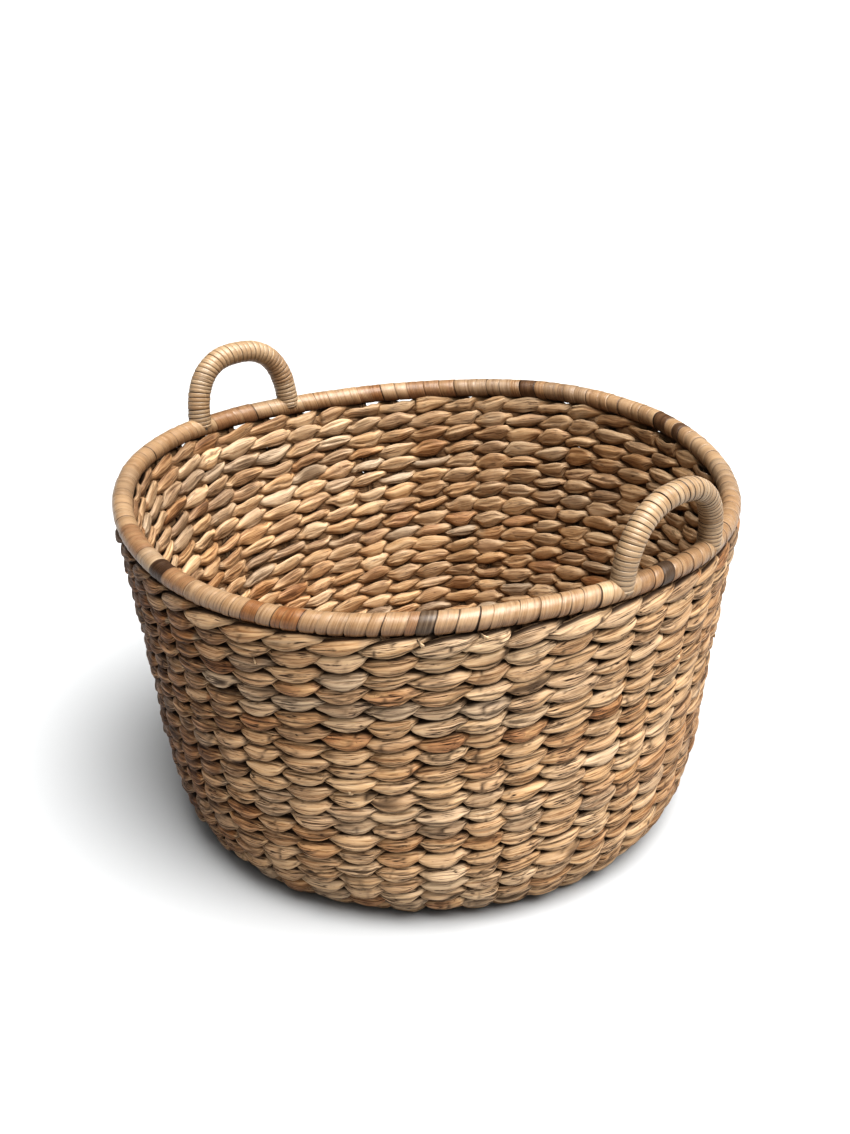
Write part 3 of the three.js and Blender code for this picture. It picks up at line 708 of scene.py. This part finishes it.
def painted_shade_plug(piece, row, centre, stakes, length, drift_s=None, wide=1.0):
    """A dark plug in the hollow where two strands cross between the stakes, coloured as painted shade, and lighter on
    the side that faces the inside.
    """
    n = len(stakes)
    w = np.linspace(-1, 1, 9)
    a = (np.arange(10) + 0.5) * TAU / 10
    for j in range(n):
        u = j + 0.5 + 0.015 * float(either(j, row, 411))
        x = u + 0.46 * w
        t = stake_angle(x, stakes)
        fat = np.clip(1 - w**4, 0.004, 1) ** 0.5
        mid = (6.3 + 2.0 * w + 0.4 * float(either(j, row, 412))) * wide
        if drift_s is not None:
            mid = mid + drift_s(t)
        up = 6.9 * wide * fat
        s = centre + mid[:, None] + up[:, None] * np.sin(a)[None, :]
        b = -1.3 + (1.8 * fat)[:, None] * np.cos(a)[None, :]
        p = wobble(wall_point(np.broadcast_to(t[:, None], s.shape), s, b))
        fibre = np.stack([np.broadcast_to((w * 7 + 50 * j + 900 * row)[:, None], s.shape), b * 2, s - centre], -1)
        looks = np.zeros(s.shape + (4,))
        within = np.clip(0.5 - 1.2 * np.cos(a), 0, 1)[None, :]
        looks[..., 0], looks[..., 1], looks[..., 2] = 0.4 - 0.08 * within, 0.3 - 0.1 * within, 0.3 * within
        looks[..., 3] = 0.86 - 0.40 * within
        piece.grid(p, fibre, looks, size=(14.0, 16.0))


def cut_end(piece, number, deg, s0, b0, going, rise, length=4.4, half=1.7):
    """The cut end of a leaf, standing a little way out of a hollow of the weave."""
    q = np.linspace(0, 1, 8)
    a = (np.arange(12) + 0.5) * TAU / 12
    t = math.radians(deg + FRONT) + going * q * length / 215
    wide = half * np.array([0.7, 0.9, 1.0, 1.0, 0.96, 0.92, 0.88, 0.80])
    s = s0 + (rise * q * length)[:, None] + wide[:, None] * np.sin(a)[None, :]
    b = b0 + (4.6 * np.sin(q * 1.8))[:, None] + 0.42 * np.cos(a)[None, :] + 0.35 * np.sin(2 * a + number)[None, :] * q[:, None]
    p = wobble(wall_point(np.broadcast_to(t[:, None], s.shape), s, b))
    fibre = np.stack([np.broadcast_to((q * length + 61.0 * number)[:, None], s.shape), b * 2, s - s0], -1)
    looks = np.zeros(s.shape + (4,))
    looks[..., 0], looks[..., 1], looks[..., 2] = 0.80, 0.10, 0.10
    # painted shade at the root of the cut end, where it comes out of the hollow, and a little at its tip
    looks[..., 3] = np.array([0.95, 0.7, 0.3, 0.05, 0.0, 0.0, 0.0, 0.05])[:, None]
    piece.grid(p, fibre, looks, size=(length, 7.0))


# cut ends left standing: row, angle counted as for the stakes, height above the row's middle, depth, direction round and up
CUT_ENDS = [
    (19, -91.9, 7.8, 6.9, 1.0, -0.55),
    (19, -82.2, 7.8, 6.9, 1.0, -0.10),
    (14, -40.6, 5.2, 4.4, 1.0, 0.35),
    (17, -121.0, 6.2, 4.4, 1.0, -0.2),
    (6, -72.0, 6.2, 4.4, 1.0, 0.4),
    (9, -104.0, 6.4, 4.4, -1.0, 0.3),
    (19, 51.0, 6.8, 6.8, 1.0, -0.6),
    (12, 28.0, 6.2, 4.4, -1.0, 0.2),
    (16, 166.0, 6.2, 4.4, 1.0, 0.3),
    (8, 120.0, 6.2, 4.4, 1.0, -0.3),
    (15, 83.0, 6.2, 4.4, 1.0, 0.2),
    (11, -10.0, 6.2, 4.4, -1.0, 0.3),
]


def row_drift(n):
    """How far row n strays from its even height, at each angle. Neighbouring rows stray alike."""

    def f(t):
        u = (np.asarray(t) / TAU) % 1.0
        common = 0.9 * drift2(u * 9, n * 0.45, 71, 9) + 0.55 * drift2(u * 23, n * 0.8, 72, 23)
        return common * (0.3 if n >= WALL_ROWS - 1 else 1.0)

    return f


def wall_row(n):
    name = "corner_row" if n == 0 else f"wall_row_{n:02d}"
    piece = Piece(name)
    s = row_length(n)
    kw = dict(drift_s=row_drift(n), seed=1)
    stakes = STAKE_T + np.radians(0.45) * either(np.arange(STAKES), n, 401)
    if n == WALL_ROWS:
        for k in (0, 1):
            strand(piece, n, k, s - 0.2, stakes, turn=TOP_TURN, length=28.6, slide=0.09, deep=1.0, split=0.6, **kw)
    else:
        for k in (0, 1):
            strand(piece, n, k, s, stakes, wide=1.08 if n <= 1 else 1.0, length=28.6, **kw)
    if n < WALL_ROWS:
        painted_shade_plug(piece, n, s, stakes, 28.6, row_drift(n))
    if n == 0:
        painted_shade_plug(piece, 60, s - ROW_PITCH, stakes, 28.6, row_drift(n))
    for number, (row, deg, up, b0, going, rise) in enumerate(CUT_ENDS):
        if row == n:
            cut_end(piece, number, deg, s + up, b0, going, rise)
    return piece.make(WEAVE, [name])


for n in range(WALL_ROWS + 1):
    wall_row(n)

# ---------------------------------------------------------------- base rounds: the same twining, laid flat

BASE_EDGES = [length_at_radius(24), length_at_radius(80), length_at_radius(124), row_length(0) - ROW_PITCH / 2]
for i, (name, rows) in enumerate((("base_round_inner", 5), ("base_round_middle", 4), ("base_round_outer", 4))):
    piece = Piece(name)
    a, b = BASE_EDGES[i], BASE_EDGES[i + 1]
    pitch = (b - a) / rows
    for r in range(rows):
        s = a + (r + 0.5) * pitch
        radius = float(np.interp(s, _s2, _r2))
        count = 46 if radius > 84 else 24 if radius > 44 else 14
        stakes = STAKE_T if count == 46 else even_stakes(count, 0.3)
        length = TAU * radius / count
        for k in (0, 1):
            strand(piece, 40 + i * 6 + r, k, s, stakes, steps=10, sides=22, length=length, wide=pitch / 12.2, deep=0.80,
                   lean_out=0.04, lean_in=-0.04, floor_b=6.45 if i == 2 else 6.0, jitter=0.8, relief=0.7, seed=2)
        painted_shade_plug(piece, 70 + i * 6 + r, s, stakes, length, wide=pitch / 12.2)
    piece.make(BASE, [name])

# ---------------------------------------------------------------- stakes


def tube(piece, centre, side, up, half_w, half_t, sides, key, length_of=None, round_u=False, power=0.8, tone=0.45, brown=0.2, grey=0.2, radius=None, world=None, fibre_turn=0.0):
    """A leaf strip along a path: centre (n, 3), with unit vectors across (side) and through (up)."""
    n = len(centre)
    a = (np.arange(sides) + 0.5) * TAU / sides
    ca, sa = np.cos(a), np.sin(a)
    hw = np.broadcast_to(np.asarray(half_w, float), (n,))
    ht = np.broadcast_to(np.asarray(half_t, float), (n,))
    off_w = hw[:, None] * (np.sign(ca) * np.abs(ca) ** power)[None, :]
    off_t = ht[:, None] * (np.sign(sa) * np.abs(sa) ** power)[None, :]
    p = centre[:, None, :] + side[:, None, :] * off_w[..., None] + up[:, None, :] * off_t[..., None]
    step = np.linalg.norm(np.diff(centre, axis=0), axis=1)
    run = np.concatenate([[0], np.cumsum(step)])
    fibre = np.stack([np.broadcast_to(run[:, None], off_w.shape) + 313.0 * key, off_w + 11.0 * key, off_t], -1)
    looks = np.zeros((n, sides, 4))
    looks[..., 0], looks[..., 1], looks[..., 2] = tone, brown, grey
    if world is not None:
        p = world(p)
    piece.grid(p, fibre, looks, round_u=round_u, round_v=True, size=(float(run[-1]), 2 * (float(hw.mean()) + float(ht.mean()))))


def plane_frame(path, up):
    t = np.gradient(path, axis=0)
    t /= np.linalg.norm(t, axis=1)[:, None]
    side = np.cross(up, t)
    side /= np.linalg.norm(side, axis=1)[:, None]
    return t, side, np.cross(t, side)


def stakes_piece(name, ends, along_x, off):
    """ends: pairs of stake numbers at the two ends of one strip, which runs right across the base."""
    piece = Piece(name)
    count = len(ends)
    s_line = np.concatenate([np.linspace(60, 160, 16), np.linspace(168, length_at_height(243.0), 38)])
    for j, (e0, e1) in enumerate(ends):
        lane = (j - (count - 1) / 2) * 6.0
        halves = []
        for e, sign in ((e0, 1), (e1, -1)):
            t = STAKE_T[e]
            p = wall_point(np.full(len(s_line), t), s_line, np.full(len(s_line), off))
            halves.append(p)
        mid = np.linspace(-30, 30, 13)
        m = np.stack([mid, np.full(13, lane), np.full(13, 6.7 - off)], -1)
        weave = 0.9 * np.cos(mid / 6.2 * math.pi + j * math.pi)
        m[:, 2] += weave
        if not along_x:
            m = m[:, [1, 0, 2]]
        m = m if (m[-1] - m[0]) @ (halves[0][0] - halves[1][0]) > 0 else m[::-1]
        path = np.concatenate([halves[1][::-1], m, halves[0]])
        # even steps on a smoothed line
        run = np.concatenate([[0], np.cumsum(np.linalg.norm(np.diff(path, axis=0), axis=1))])
        at = np.linspace(0, run[-1], 150)
        path = np.stack([np.interp(at, run, path[:, c]) for c in range(3)], -1)
        for _ in range(3):
            path[1:-1] = 0.25 * path[:-2] + 0.5 * path[1:-1] + 0.25 * path[2:]
        out = path * np.array([1, 1, 0])
        out /= np.maximum(np.linalg.norm(out, axis=1)[:, None], 1e-6)
        r = np.hypot(path[:, 0], path[:, 1])
        blend = np.clip((r - 150) / 40, 0, 1)[:, None]
        up = blend * out + (1 - blend) * np.array([0, 0, -1.0])
        _, side, up = plane_frame(path, up)
        wide = 2.9 + 0.25 * drift(at / 30, 500 + j)
        tube(piece, path, side, up, wide, 1.0 + 0.15 * drift(at / 9, 600 + j), 12, j + (50 if along_x else 0),
             tone=0.42 + 0.2 * float(either(j, 9)), world=wobble)
    piece.make(STAKE, [name])


_east = [i for i in range(STAKES) if math.cos(STAKE_T[i]) > 0.70]
_west = [i for i in range(STAKES) if math.cos(STAKE_T[i]) < -0.70]
_north = [i for i in range(STAKES) if math.sin(STAKE_T[i]) > 0 and i not in _east and i not in _west]
_south = [i for i in range(STAKES) if math.sin(STAKE_T[i]) < 0 and i not in _east and i not in _west]


def _sorted(idx, key):
    return sorted(idx, key=key)


def pair_up(a, b):
    n = max(len(a), len(b))
    return [(a[min(k, len(a) - 1)] if len(a) <= k else a[k], b[min(k, len(b) - 1)] if len(b) <= k else b[k]) for k in range(n)]


_e = _sorted(_east, lambda i: math.sin(STAKE_T[i]))
_w = _sorted(_west, lambda i: math.sin(STAKE_T[i]))
_n = _sorted(_north, lambda i: math.cos(STAKE_T[i]))
_so = _sorted(_south, lambda i: math.cos(STAKE_T[i]))
stakes_piece("stakes_lengthwise", pair_up(_e, _w), True, -1.1)
stakes_piece("stakes_crosswise", pair_up(_n, _so), False, 1.1)

# ---------------------------------------------------------------- rim: hoop and wrap


def rim_point(t, psi, radius):
    """A point on the tube round the rim's middle line. psi is 0 outward and a quarter turn at the top."""
    r = RIM_R + radius * np.cos(psi)
    z = RIM_Z + radius * np.sin(psi)
    lift = 0.35 * drift((t / TAU % 1) * 37, 811, 37)
    return wobble(np.stack([r * np.cos(t), r * np.sin(t), z + lift], -1))


# the hoop: four thin bundles laid in a slow twist
piece = Piece("rim_hoop")
for k in range(4):
    t = np.arange(240) * TAU / 240
    twist = 9 * t + k * TAU / 4
    c = np.stack([(RIM_R + 2.3 * np.cos(twist)) * np.cos(t), (RIM_R + 2.3 * np.cos(twist)) * np.sin(t), RIM_Z + 2.3 * np.sin(twist)], -1)
    up = np.broadcast_to(np.array([0, 0, 1.0]), c.shape)
    tan = np.stack([-np.sin(t), np.cos(t), 0 * t], -1)
    side = np.cross(up, tan)
    tube(piece, c, side, up, 2.3 + 0.15 * drift(t * 20, 700 + k), 2.3, 10, k + 3, round_u=True, power=1.0, world=wobble)
piece.make(BUNDLE, ["rim_hoop"])

FOOT_DEG = {"right_a": -10.37, "right_b": 15.77, "left_a": 166.27, "left_b": 188.33}
LASH_HALF = 2.7


def wound_strip(piece, key, t0, t1, widths, radius, lean_to=1.0, looks=None, thick=0.40, psi_from=-1.9, sides_psi=30,
                overlap=1.25, pinch=0.80, fold=None):
    """Turns of flat leaf round the rim, from angle t0 to t1. Each turn lies on the edge of the last one."""
    edges = np.concatenate([[0], np.cumsum(widths)])
    edges = t0 + (t1 - t0) * edges / edges[-1]
    for j in range(len(widths)):
        a, b = edges[j], edges[j + 1]
        mm = (b - a) * RIM_R
        w = np.array([0.0, 0.025, 0.070, 0.5, 0.84, 0.885, 1.0])
        # a leaf's section across its width: thin rounded edges, a low crown
        crown = np.array([-0.15, 0.50, 0.82, 1.0, 0.90, 0.72, 0.10]) * thick + 0.12 * either(np.arange(7), key, j, 41)
        psi = psi_from + np.arange(sides_psi) * TAU / sides_psi
        P, W = np.meshgrid(psi, w, indexing="ij")
        # the ends of the turn are drawn together where they go down into the weave
        low = np.clip(np.cos(P + 1.15), 0, 1) ** 3
        width = 1 - (1 - pinch) * low * (0.6 + 0.8 * float(chance(key, j, 42)))
        lean = lean_to * 0.0105 * np.sin(P - 0.35) + 0.002 * float(either(key, j, 43)) * np.cos(P)
        over = overlap / RIM_R
        t = a + lean + ((W - 0.5) * width + 0.5) * (b - a + over)
        # the leading edge dips under the next turn, the trailing edge rides on the one before
        slope = 0.34 * (0.5 - W)
        rad = radius + crown[None, :] + slope + 0.10 * float(either(key, j, 44)) + 0.10 * drift2(P * 2.2, W * 2 + 5 * j, 45 + key)
        outer = rim_point(t, P, rad)
        inner = rim_point(t, P, np.full_like(rad, radius - 0.9))
        pts = np.concatenate([outer, inner[:, ::-1][:, 1:-1]], 1)
        run = P * radius
        acr = W * mm
        fibre = np.stack([run + 400.0 * j + 37.0 * key, acr + 31.0 * j, 0 * acr], -1)
        fibre = np.concatenate([fibre, fibre[:, ::-1][:, 1:-1]], 1)
        tone, brown, grey, dark = looks(j, 0.5 * (a + b)) if looks else (0.62, 0.12, 0.05, 0.0)
        lk = np.zeros(fibre.shape[:2] + (4,))
        lk[..., 0], lk[..., 1], lk[..., 2] = tone, brown, grey
        # painted shade: the underside of the rim is made darker and browner
        below = np.clip(0.25 - np.sin(P), 0, 1)
        lk[:, :7, 1] = np.clip(brown + 0.55 * below, 0, 1)
        lk[:, :7, 0] = tone - 0.16 * below
        # painted shade: dark lines where one turn meets the next, darker on some turns than others, and the hidden
        # inner side darkened
        edge = np.zeros_like(W)
        gap = float(chance(key, j, 46))
        edge[:, -1] = edge[:, -2] = 0.20 + 0.75 * gap
        edge[:, 0] = 0.45 + 0.55 * gap
        edge[:, 1] = 0.35 * gap
        lk[:, :7, 3] = np.clip(edge + dark, 0, 1)
        lk[:, 7:, 3] = 0.5
        piece.grid(pts, fibre, lk, round_u=True, round_v=True, size=(TAU * radius, 2 * mm + 2))


def wrap_widths(total_mm, key):
    out, run, k = [], 0.0, 0
    while run < total_mm - 5:
        w = 6.0 + 8.5 * float(chance(k, key, 61)) ** 1.2
        out.append(w)
        run += w
        k += 1
    return out


# leaves of another colour in the wrap: angle as seen from the front, half width, tone, brown, grey, dark
ACCENTS = [
    (-90.6, 1.7, 0.22, 0.0, 1.0, 0.28),
    (-144.8, 1.5, 0.05, 0.2, 0.5, 0.62),
    (-121.5, 1.5, 0.35, 0.9, 0.0, 0.0),
    (-114.0, 1.6, 0.52, 1.0, 0.0, 0.0),
    (-49.6, 2.6, 0.47, 0.42, 0.10, 0.04),
    (-46.2, 1.3, 0.10, 0.2, 0.9, 0.40),
    (-60.5, 1.3, 0.78, 0.1, 0.0, 0.0),
    (66.0, 1.3, 0.15, 0.5, 0.4, 0.40),
    (31.0, 1.5, 0.12, 0.5, 0.4, 0.45),
    (24.0, 1.5, 0.12, 0.3, 0.6, 0.40),
    (101.0, 1.6, 0.30, 0.8, 0.1, 0.05),
]


def wrap_looks(key):
    which = leaf_runs(40, (key, 63), 2, 6)

    def f(j, t):
        deg = (math.degrees(t) - FRONT + 180) % 360 - 180
        for at, half, tone, brown, grey, dark in ACCENTS:
            if abs((deg - at + 180) % 360 - 180) < half:
                return tone, brown, grey, dark
        leafn = int(which[j % 40])
        tone = 0.62 + 0.13 * float(either(leafn, key, 64)) + 0.05 * float(either(j, key, 65))
        brown = 0.80 if float(chance(leafn, key, 66)) < 0.22 else 0.36
        grey = 0.55 if float(chance(leafn, key, 67)) < 0.16 else 0.24
        return tone, brown, grey, 0.0

    return f


_spans = []
_rb, _la, _lb, _ra = (FOOT_DEG[k] for k in ("right_b", "left_a", "left_b", "right_a"))
_h = LASH_HALF + 0.1
for k in range(3):
    g0, g1 = _rb + _h, _la - _h
    _spans.append((g0 + (g1 - g0) * k / 3, g0 + (g1 - g0) * (k + 1) / 3))
_spans.append((_la + _h, _lb - _h))
for k in range(3):
    g0, g1 = _lb + _h, 360 + _ra - _h
    _spans.append((g0 + (g1 - g0) * k / 3, g0 + (g1 - g0) * (k + 1) / 3))
_spans.append((_ra + _h, _rb - _h))
for k, (g0, g1) in enumerate(_spans):
    name = f"rim_wrap_{k + 1}"
    piece = Piece(name)
    widths = wrap_widths(math.radians(g1 - g0) * RIM_R, k)
    wound_strip(piece, k, math.radians(g0), math.radians(g1), widths, 6.95, looks=wrap_looks(k))
    piece.make(WRAP, [name])

# ---------------------------------------------------------------- handles


def arch(h, u):
    a = math.pi * u
    c = -np.cos(a)
    X = np.sign(c) * np.abs(c) ** (2 / 2.5)
    Z = np.abs(np.sin(a)) ** (2 / 2.5)
    t = math.radians(h["at"])
    rc = math.sqrt(RIM_R**2 - h["half"] ** 2) + h["lean"] * Z
    return np.stack([rc * math.cos(t) - h["half"] * X * math.sin(t), rc * math.sin(t) + h["half"] * X * math.cos(t), RIM_Z + h["high"] * Z], -1)


def even_path(points, count):
    run = np.concatenate([[0], np.cumsum(np.linalg.norm(np.diff(points, axis=0), axis=1))])
    at = np.linspace(0, run[-1], count)
    return np.stack([np.interp(at, run, points[:, c]) for c in range(3)], -1), run[-1]


def arch_path(h, below, count=400):
    """The handle's middle line, from below the rim's middle at one foot to the same at the other."""
    u = np.linspace(0.0005, 0.9995, 900)
    p = arch(h, u)
    a, b = p[0].copy(), p[-1].copy()
    down = np.array([0, 0, -1.0])
    p = np.concatenate([[a + down * below], p, [b + down * below]])
    return even_path(p, count)


def handle(side, h, key):
    t = math.radians(h["at"])
    outward = np.array([math.cos(t), math.sin(t), 0.0])
    # padding: leaves laid along the wire
    name = f"handle_{side}_padding"
    piece = Piece(name)
    p, length = arch_path(h, -8.6, 130)
    for k in range(5):
        tw = np.linspace(0, 2.2 * math.pi, len(p)) + k * TAU / 5
        T, S, U = plane_frame(p, np.broadcast_to(outward, p.shape))
        c = p + S * (3.4 * np.cos(tw))[:, None] + U * (3.4 * np.sin(tw))[:, None]
        tube(piece, c, S, U, 2.6, 2.6, 10, 20 * key + k, power=1.0, world=wobble)
    piece.make(BUNDLE, [name])
    # the wrap: one flat leaf after another, wound in close turns
    name = f"handle_{side}_wrap"
    piece = Piece(name)
    p, length = arch_path(h, -3.0, 1400)
    T, S, U = plane_frame(p, np.broadcast_to(outward, p.shape))
    pitches = []
    run = 0.0
    k = 0
    while run < length:
        w = 3.2 + 0.6 * float(either(k, key, 71))
        if side == "right":
            w = w * (1 + 0.85 * math.exp(-(((run / length - 0.50) / 0.13) ** 2)))
        else:
            w = w * (1 + 0.30 * math.exp(-(((run / length - 0.50) / 0.15) ** 2)))
        pitches.append(w)
        run += w
        k += 1
    pitches = np.array(pitches) * length / run
    edge = np.concatenate([[0], np.cumsum(pitches)])
    turns = len(pitches)
    per = 26
    tau = np.arange(turns * per + 1) / per
    mid = np.interp(tau, np.arange(turns + 1), edge)
    wide = np.interp(tau, np.arange(turns) + 0.5, pitches)
    ang = TAU * tau
    w = np.array([-0.5, -0.45, -0.36, -0.10, 0.25, 0.40, 0.46, 0.5])
    crown = np.array([-0.50, -0.14, 0.13, 0.28, 0.30, 0.14, -0.12, -0.38])
    M_, W = np.meshgrid(mid, w, indexing="ij")
    A = np.broadcast_to(ang[:, None], M_.shape)
    WID = np.broadcast_to(wide[:, None], M_.shape)
    at = np.clip(M_ + W * (WID * 1.10), 0, length)
    turn_no = np.floor(tau + 0.25).astype(int)
    lift = 0.14 * either(turn_no, key, 73)[:, None] + 0.10 * drift(tau * 2.1, 74 + key)[:, None]
    radius = (7.95 if side == "right" else 8.25) + crown[None, :] + lift - 0.25 * W

    def on(at, A, radius):
        idx = at / length * (len(p) - 1)
        i = np.clip(np.floor(idx).astype(int), 0, len(p) - 2)
        f = (idx - i)[..., None]
        C = p[i] * (1 - f) + p[i + 1] * f
        SS = S[i] * (1 - f) + S[i + 1] * f
        UU = U[i] * (1 - f) + U[i + 1] * f
        return C + SS * (radius * np.cos(A))[..., None] + UU * (radius * np.sin(A))[..., None]

    outer = on(at, A, radius)
    inner = on(at, A, np.full_like(radius, 6.7))
    pts = wobble(np.concatenate([outer, inner[:, ::-1]], 1))
    fib = np.stack([A * 7.8 + 500.0 * key, W * WID + 9.0 * turn_no[:, None], 0 * W], -1)
    fib = np.concatenate([fib, fib[:, ::-1]], 1)
    leafs = leaf_runs(turns + 3, (key, 75), 3, 9)
    ln = leafs[np.clip(turn_no, 0, turns + 2)]
    lk = np.zeros(pts.shape[:2] + (4,))
    lk[..., 0] = (0.66 + 0.10 * either(ln, key, 76) + 0.06 * either(turn_no, key, 77))[:, None]
    lk[..., 1] = np.where(chance(ln, key, 78) < 0.15, 0.5, 0.10)[:, None]
    lk[..., 2] = np.where(chance(ln, key, 79) < 0.15, 0.50, 0.26)[:, None]
    # painted shade: dark lines at the edges of each turn, where it meets the next, and the hidden inner side darkened
    lk[:, :8, 3] = np.array([1.0, 0.92, 0.10, 0.0, 0.0, 0.0, 0.80, 1.0])
    lk[:, 8:, 3] = 0.8
    piece.grid(pts, fib, lk, round_v=True, size=(float(ang[-1] * 7.8), 2 * float(wide.mean()) + 1.5))
    piece.make(WRAP, [name])
    # the wire keeps its own shape from the frame
    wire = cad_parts[f"handle_{side}_wire"]
    wire.data.materials.clear()
    wire.data.materials.append(WIRE)


for key, (side, h) in enumerate(HANDLES.items()):
    handle(side, h, key + 1)

# ---------------------------------------------------------------- foot lashings
for key, (foot, deg) in enumerate(FOOT_DEG.items()):
    name = f"foot_lashing_{foot}"
    piece = Piece(name)
    a, b = math.radians(deg - LASH_HALF - 0.25), math.radians(deg + LASH_HALF + 0.25)
    wound_strip(piece, 30 + key, a, b, [6.2, 4.0, 4.4, 6.4], 7.1, looks=lambda j, t, key=key: (0.60 + 0.08 * float(either(j, key, 81)), 0.15, 0.22, 0.0))
    piece.make(LASH, [name])

# ---------------------------------------------------------------- camera, as the basket was photographed

cam_data = bpy.data.cameras.new("camera")
cam_data.sensor_width = 36.0
cam_data.sensor_fit = "AUTO"
cam_data.lens = 1700 / 1134 * 36
cam_data.clip_start, cam_data.clip_end = 0.01, 100.0
cam = bpy.data.objects.new("camera", cam_data)
bpy.context.scene.collection.objects.link(cam)
el, pit, yaw, roll, dist = 0.49134, 0.04594, -0.00129, -0.02594, 1.28801
aim = Vector((0, 0, 0.12))
pos = aim + dist * Vector((0, -math.cos(el), math.sin(el)))
fwd = (aim - pos) / dist
r0 = Vector((1, 0, 0))
u0 = r0.cross(fwd)
fwd2 = fwd * math.cos(pit) + u0 * math.sin(pit)
up2 = u0 * math.cos(pit) - fwd * math.sin(pit)
fwd3 = fwd2 * math.cos(yaw) + r0 * math.sin(yaw)
rt = r0 * math.cos(yaw) - fwd2 * math.sin(yaw)
right = math.cos(roll) * rt + math.sin(roll) * up2
upv = -math.sin(roll) * rt + math.cos(roll) * up2
m = Matrix((right, upv, -fwd3)).transposed().to_4x4()
m.translation = pos
cam.matrix_world = Matrix.Translation((SHIFT[0] / 1000, SHIFT[1] / 1000, 0)) @ Matrix.Rotation(math.radians(FRONT), 4, "Z") @ m
bpy.context.scene.camera = cam

# ---------------------------------------------------------------- floor and light


bpy.ops.mesh.primitive_circle_add(vertices=96, radius=14.0, fill_type="NGON", location=(0, 0, -0.0002))
floor = bpy.context.object
floor.name = "floor"
ft = Tree("floor_white")
fp = ft.add("ShaderNodeBsdfPrincipled")
fp.inputs["Base Color"].default_value = (0.39, 0.393, 0.395, 1)
fp.inputs["Roughness"].default_value = 0.75
fp.inputs["Specular IOR Level"].default_value = 0.2
ft.add("ShaderNodeOutputMaterial", {"Surface": fp.outputs["BSDF"]})
floor.data.materials.append(ft.mat)

world = bpy.data.worlds.new("studio")
bpy.context.scene.world = world
world.use_nodes = True
world.node_tree.nodes["Background"].inputs["Color"].default_value = (1.0, 1.0, 1.0, 1)
world.node_tree.nodes["Background"].inputs["Strength"].default_value = 0.085


def soft_sun(name, going, strength, degrees):
    """A very wide soft light from far off. going: right, away, up as seen from the front."""
    d = bpy.data.lights.new(name, "SUN")
    d.energy = strength
    d.angle = math.radians(degrees)
    o = bpy.data.objects.new(name, d)
    bpy.context.scene.collection.objects.link(o)
    towards = Matrix.Rotation(math.radians(FRONT), 4, "Z") @ Vector(going)
    o.rotation_mode = "QUATERNION"
    o.rotation_quaternion = towards.to_track_quat("-Z", "Y")


soft_sun("key", (-0.51, 0.37, -1.50), 6.35, 58)
soft_sun("fill", (-0.20, 0.88, -1.46), 2.0, 60)

view = bpy.context.scene.view_settings
view.view_transform = "Standard"
view.look = "High Contrast"
view.exposure = 0.0
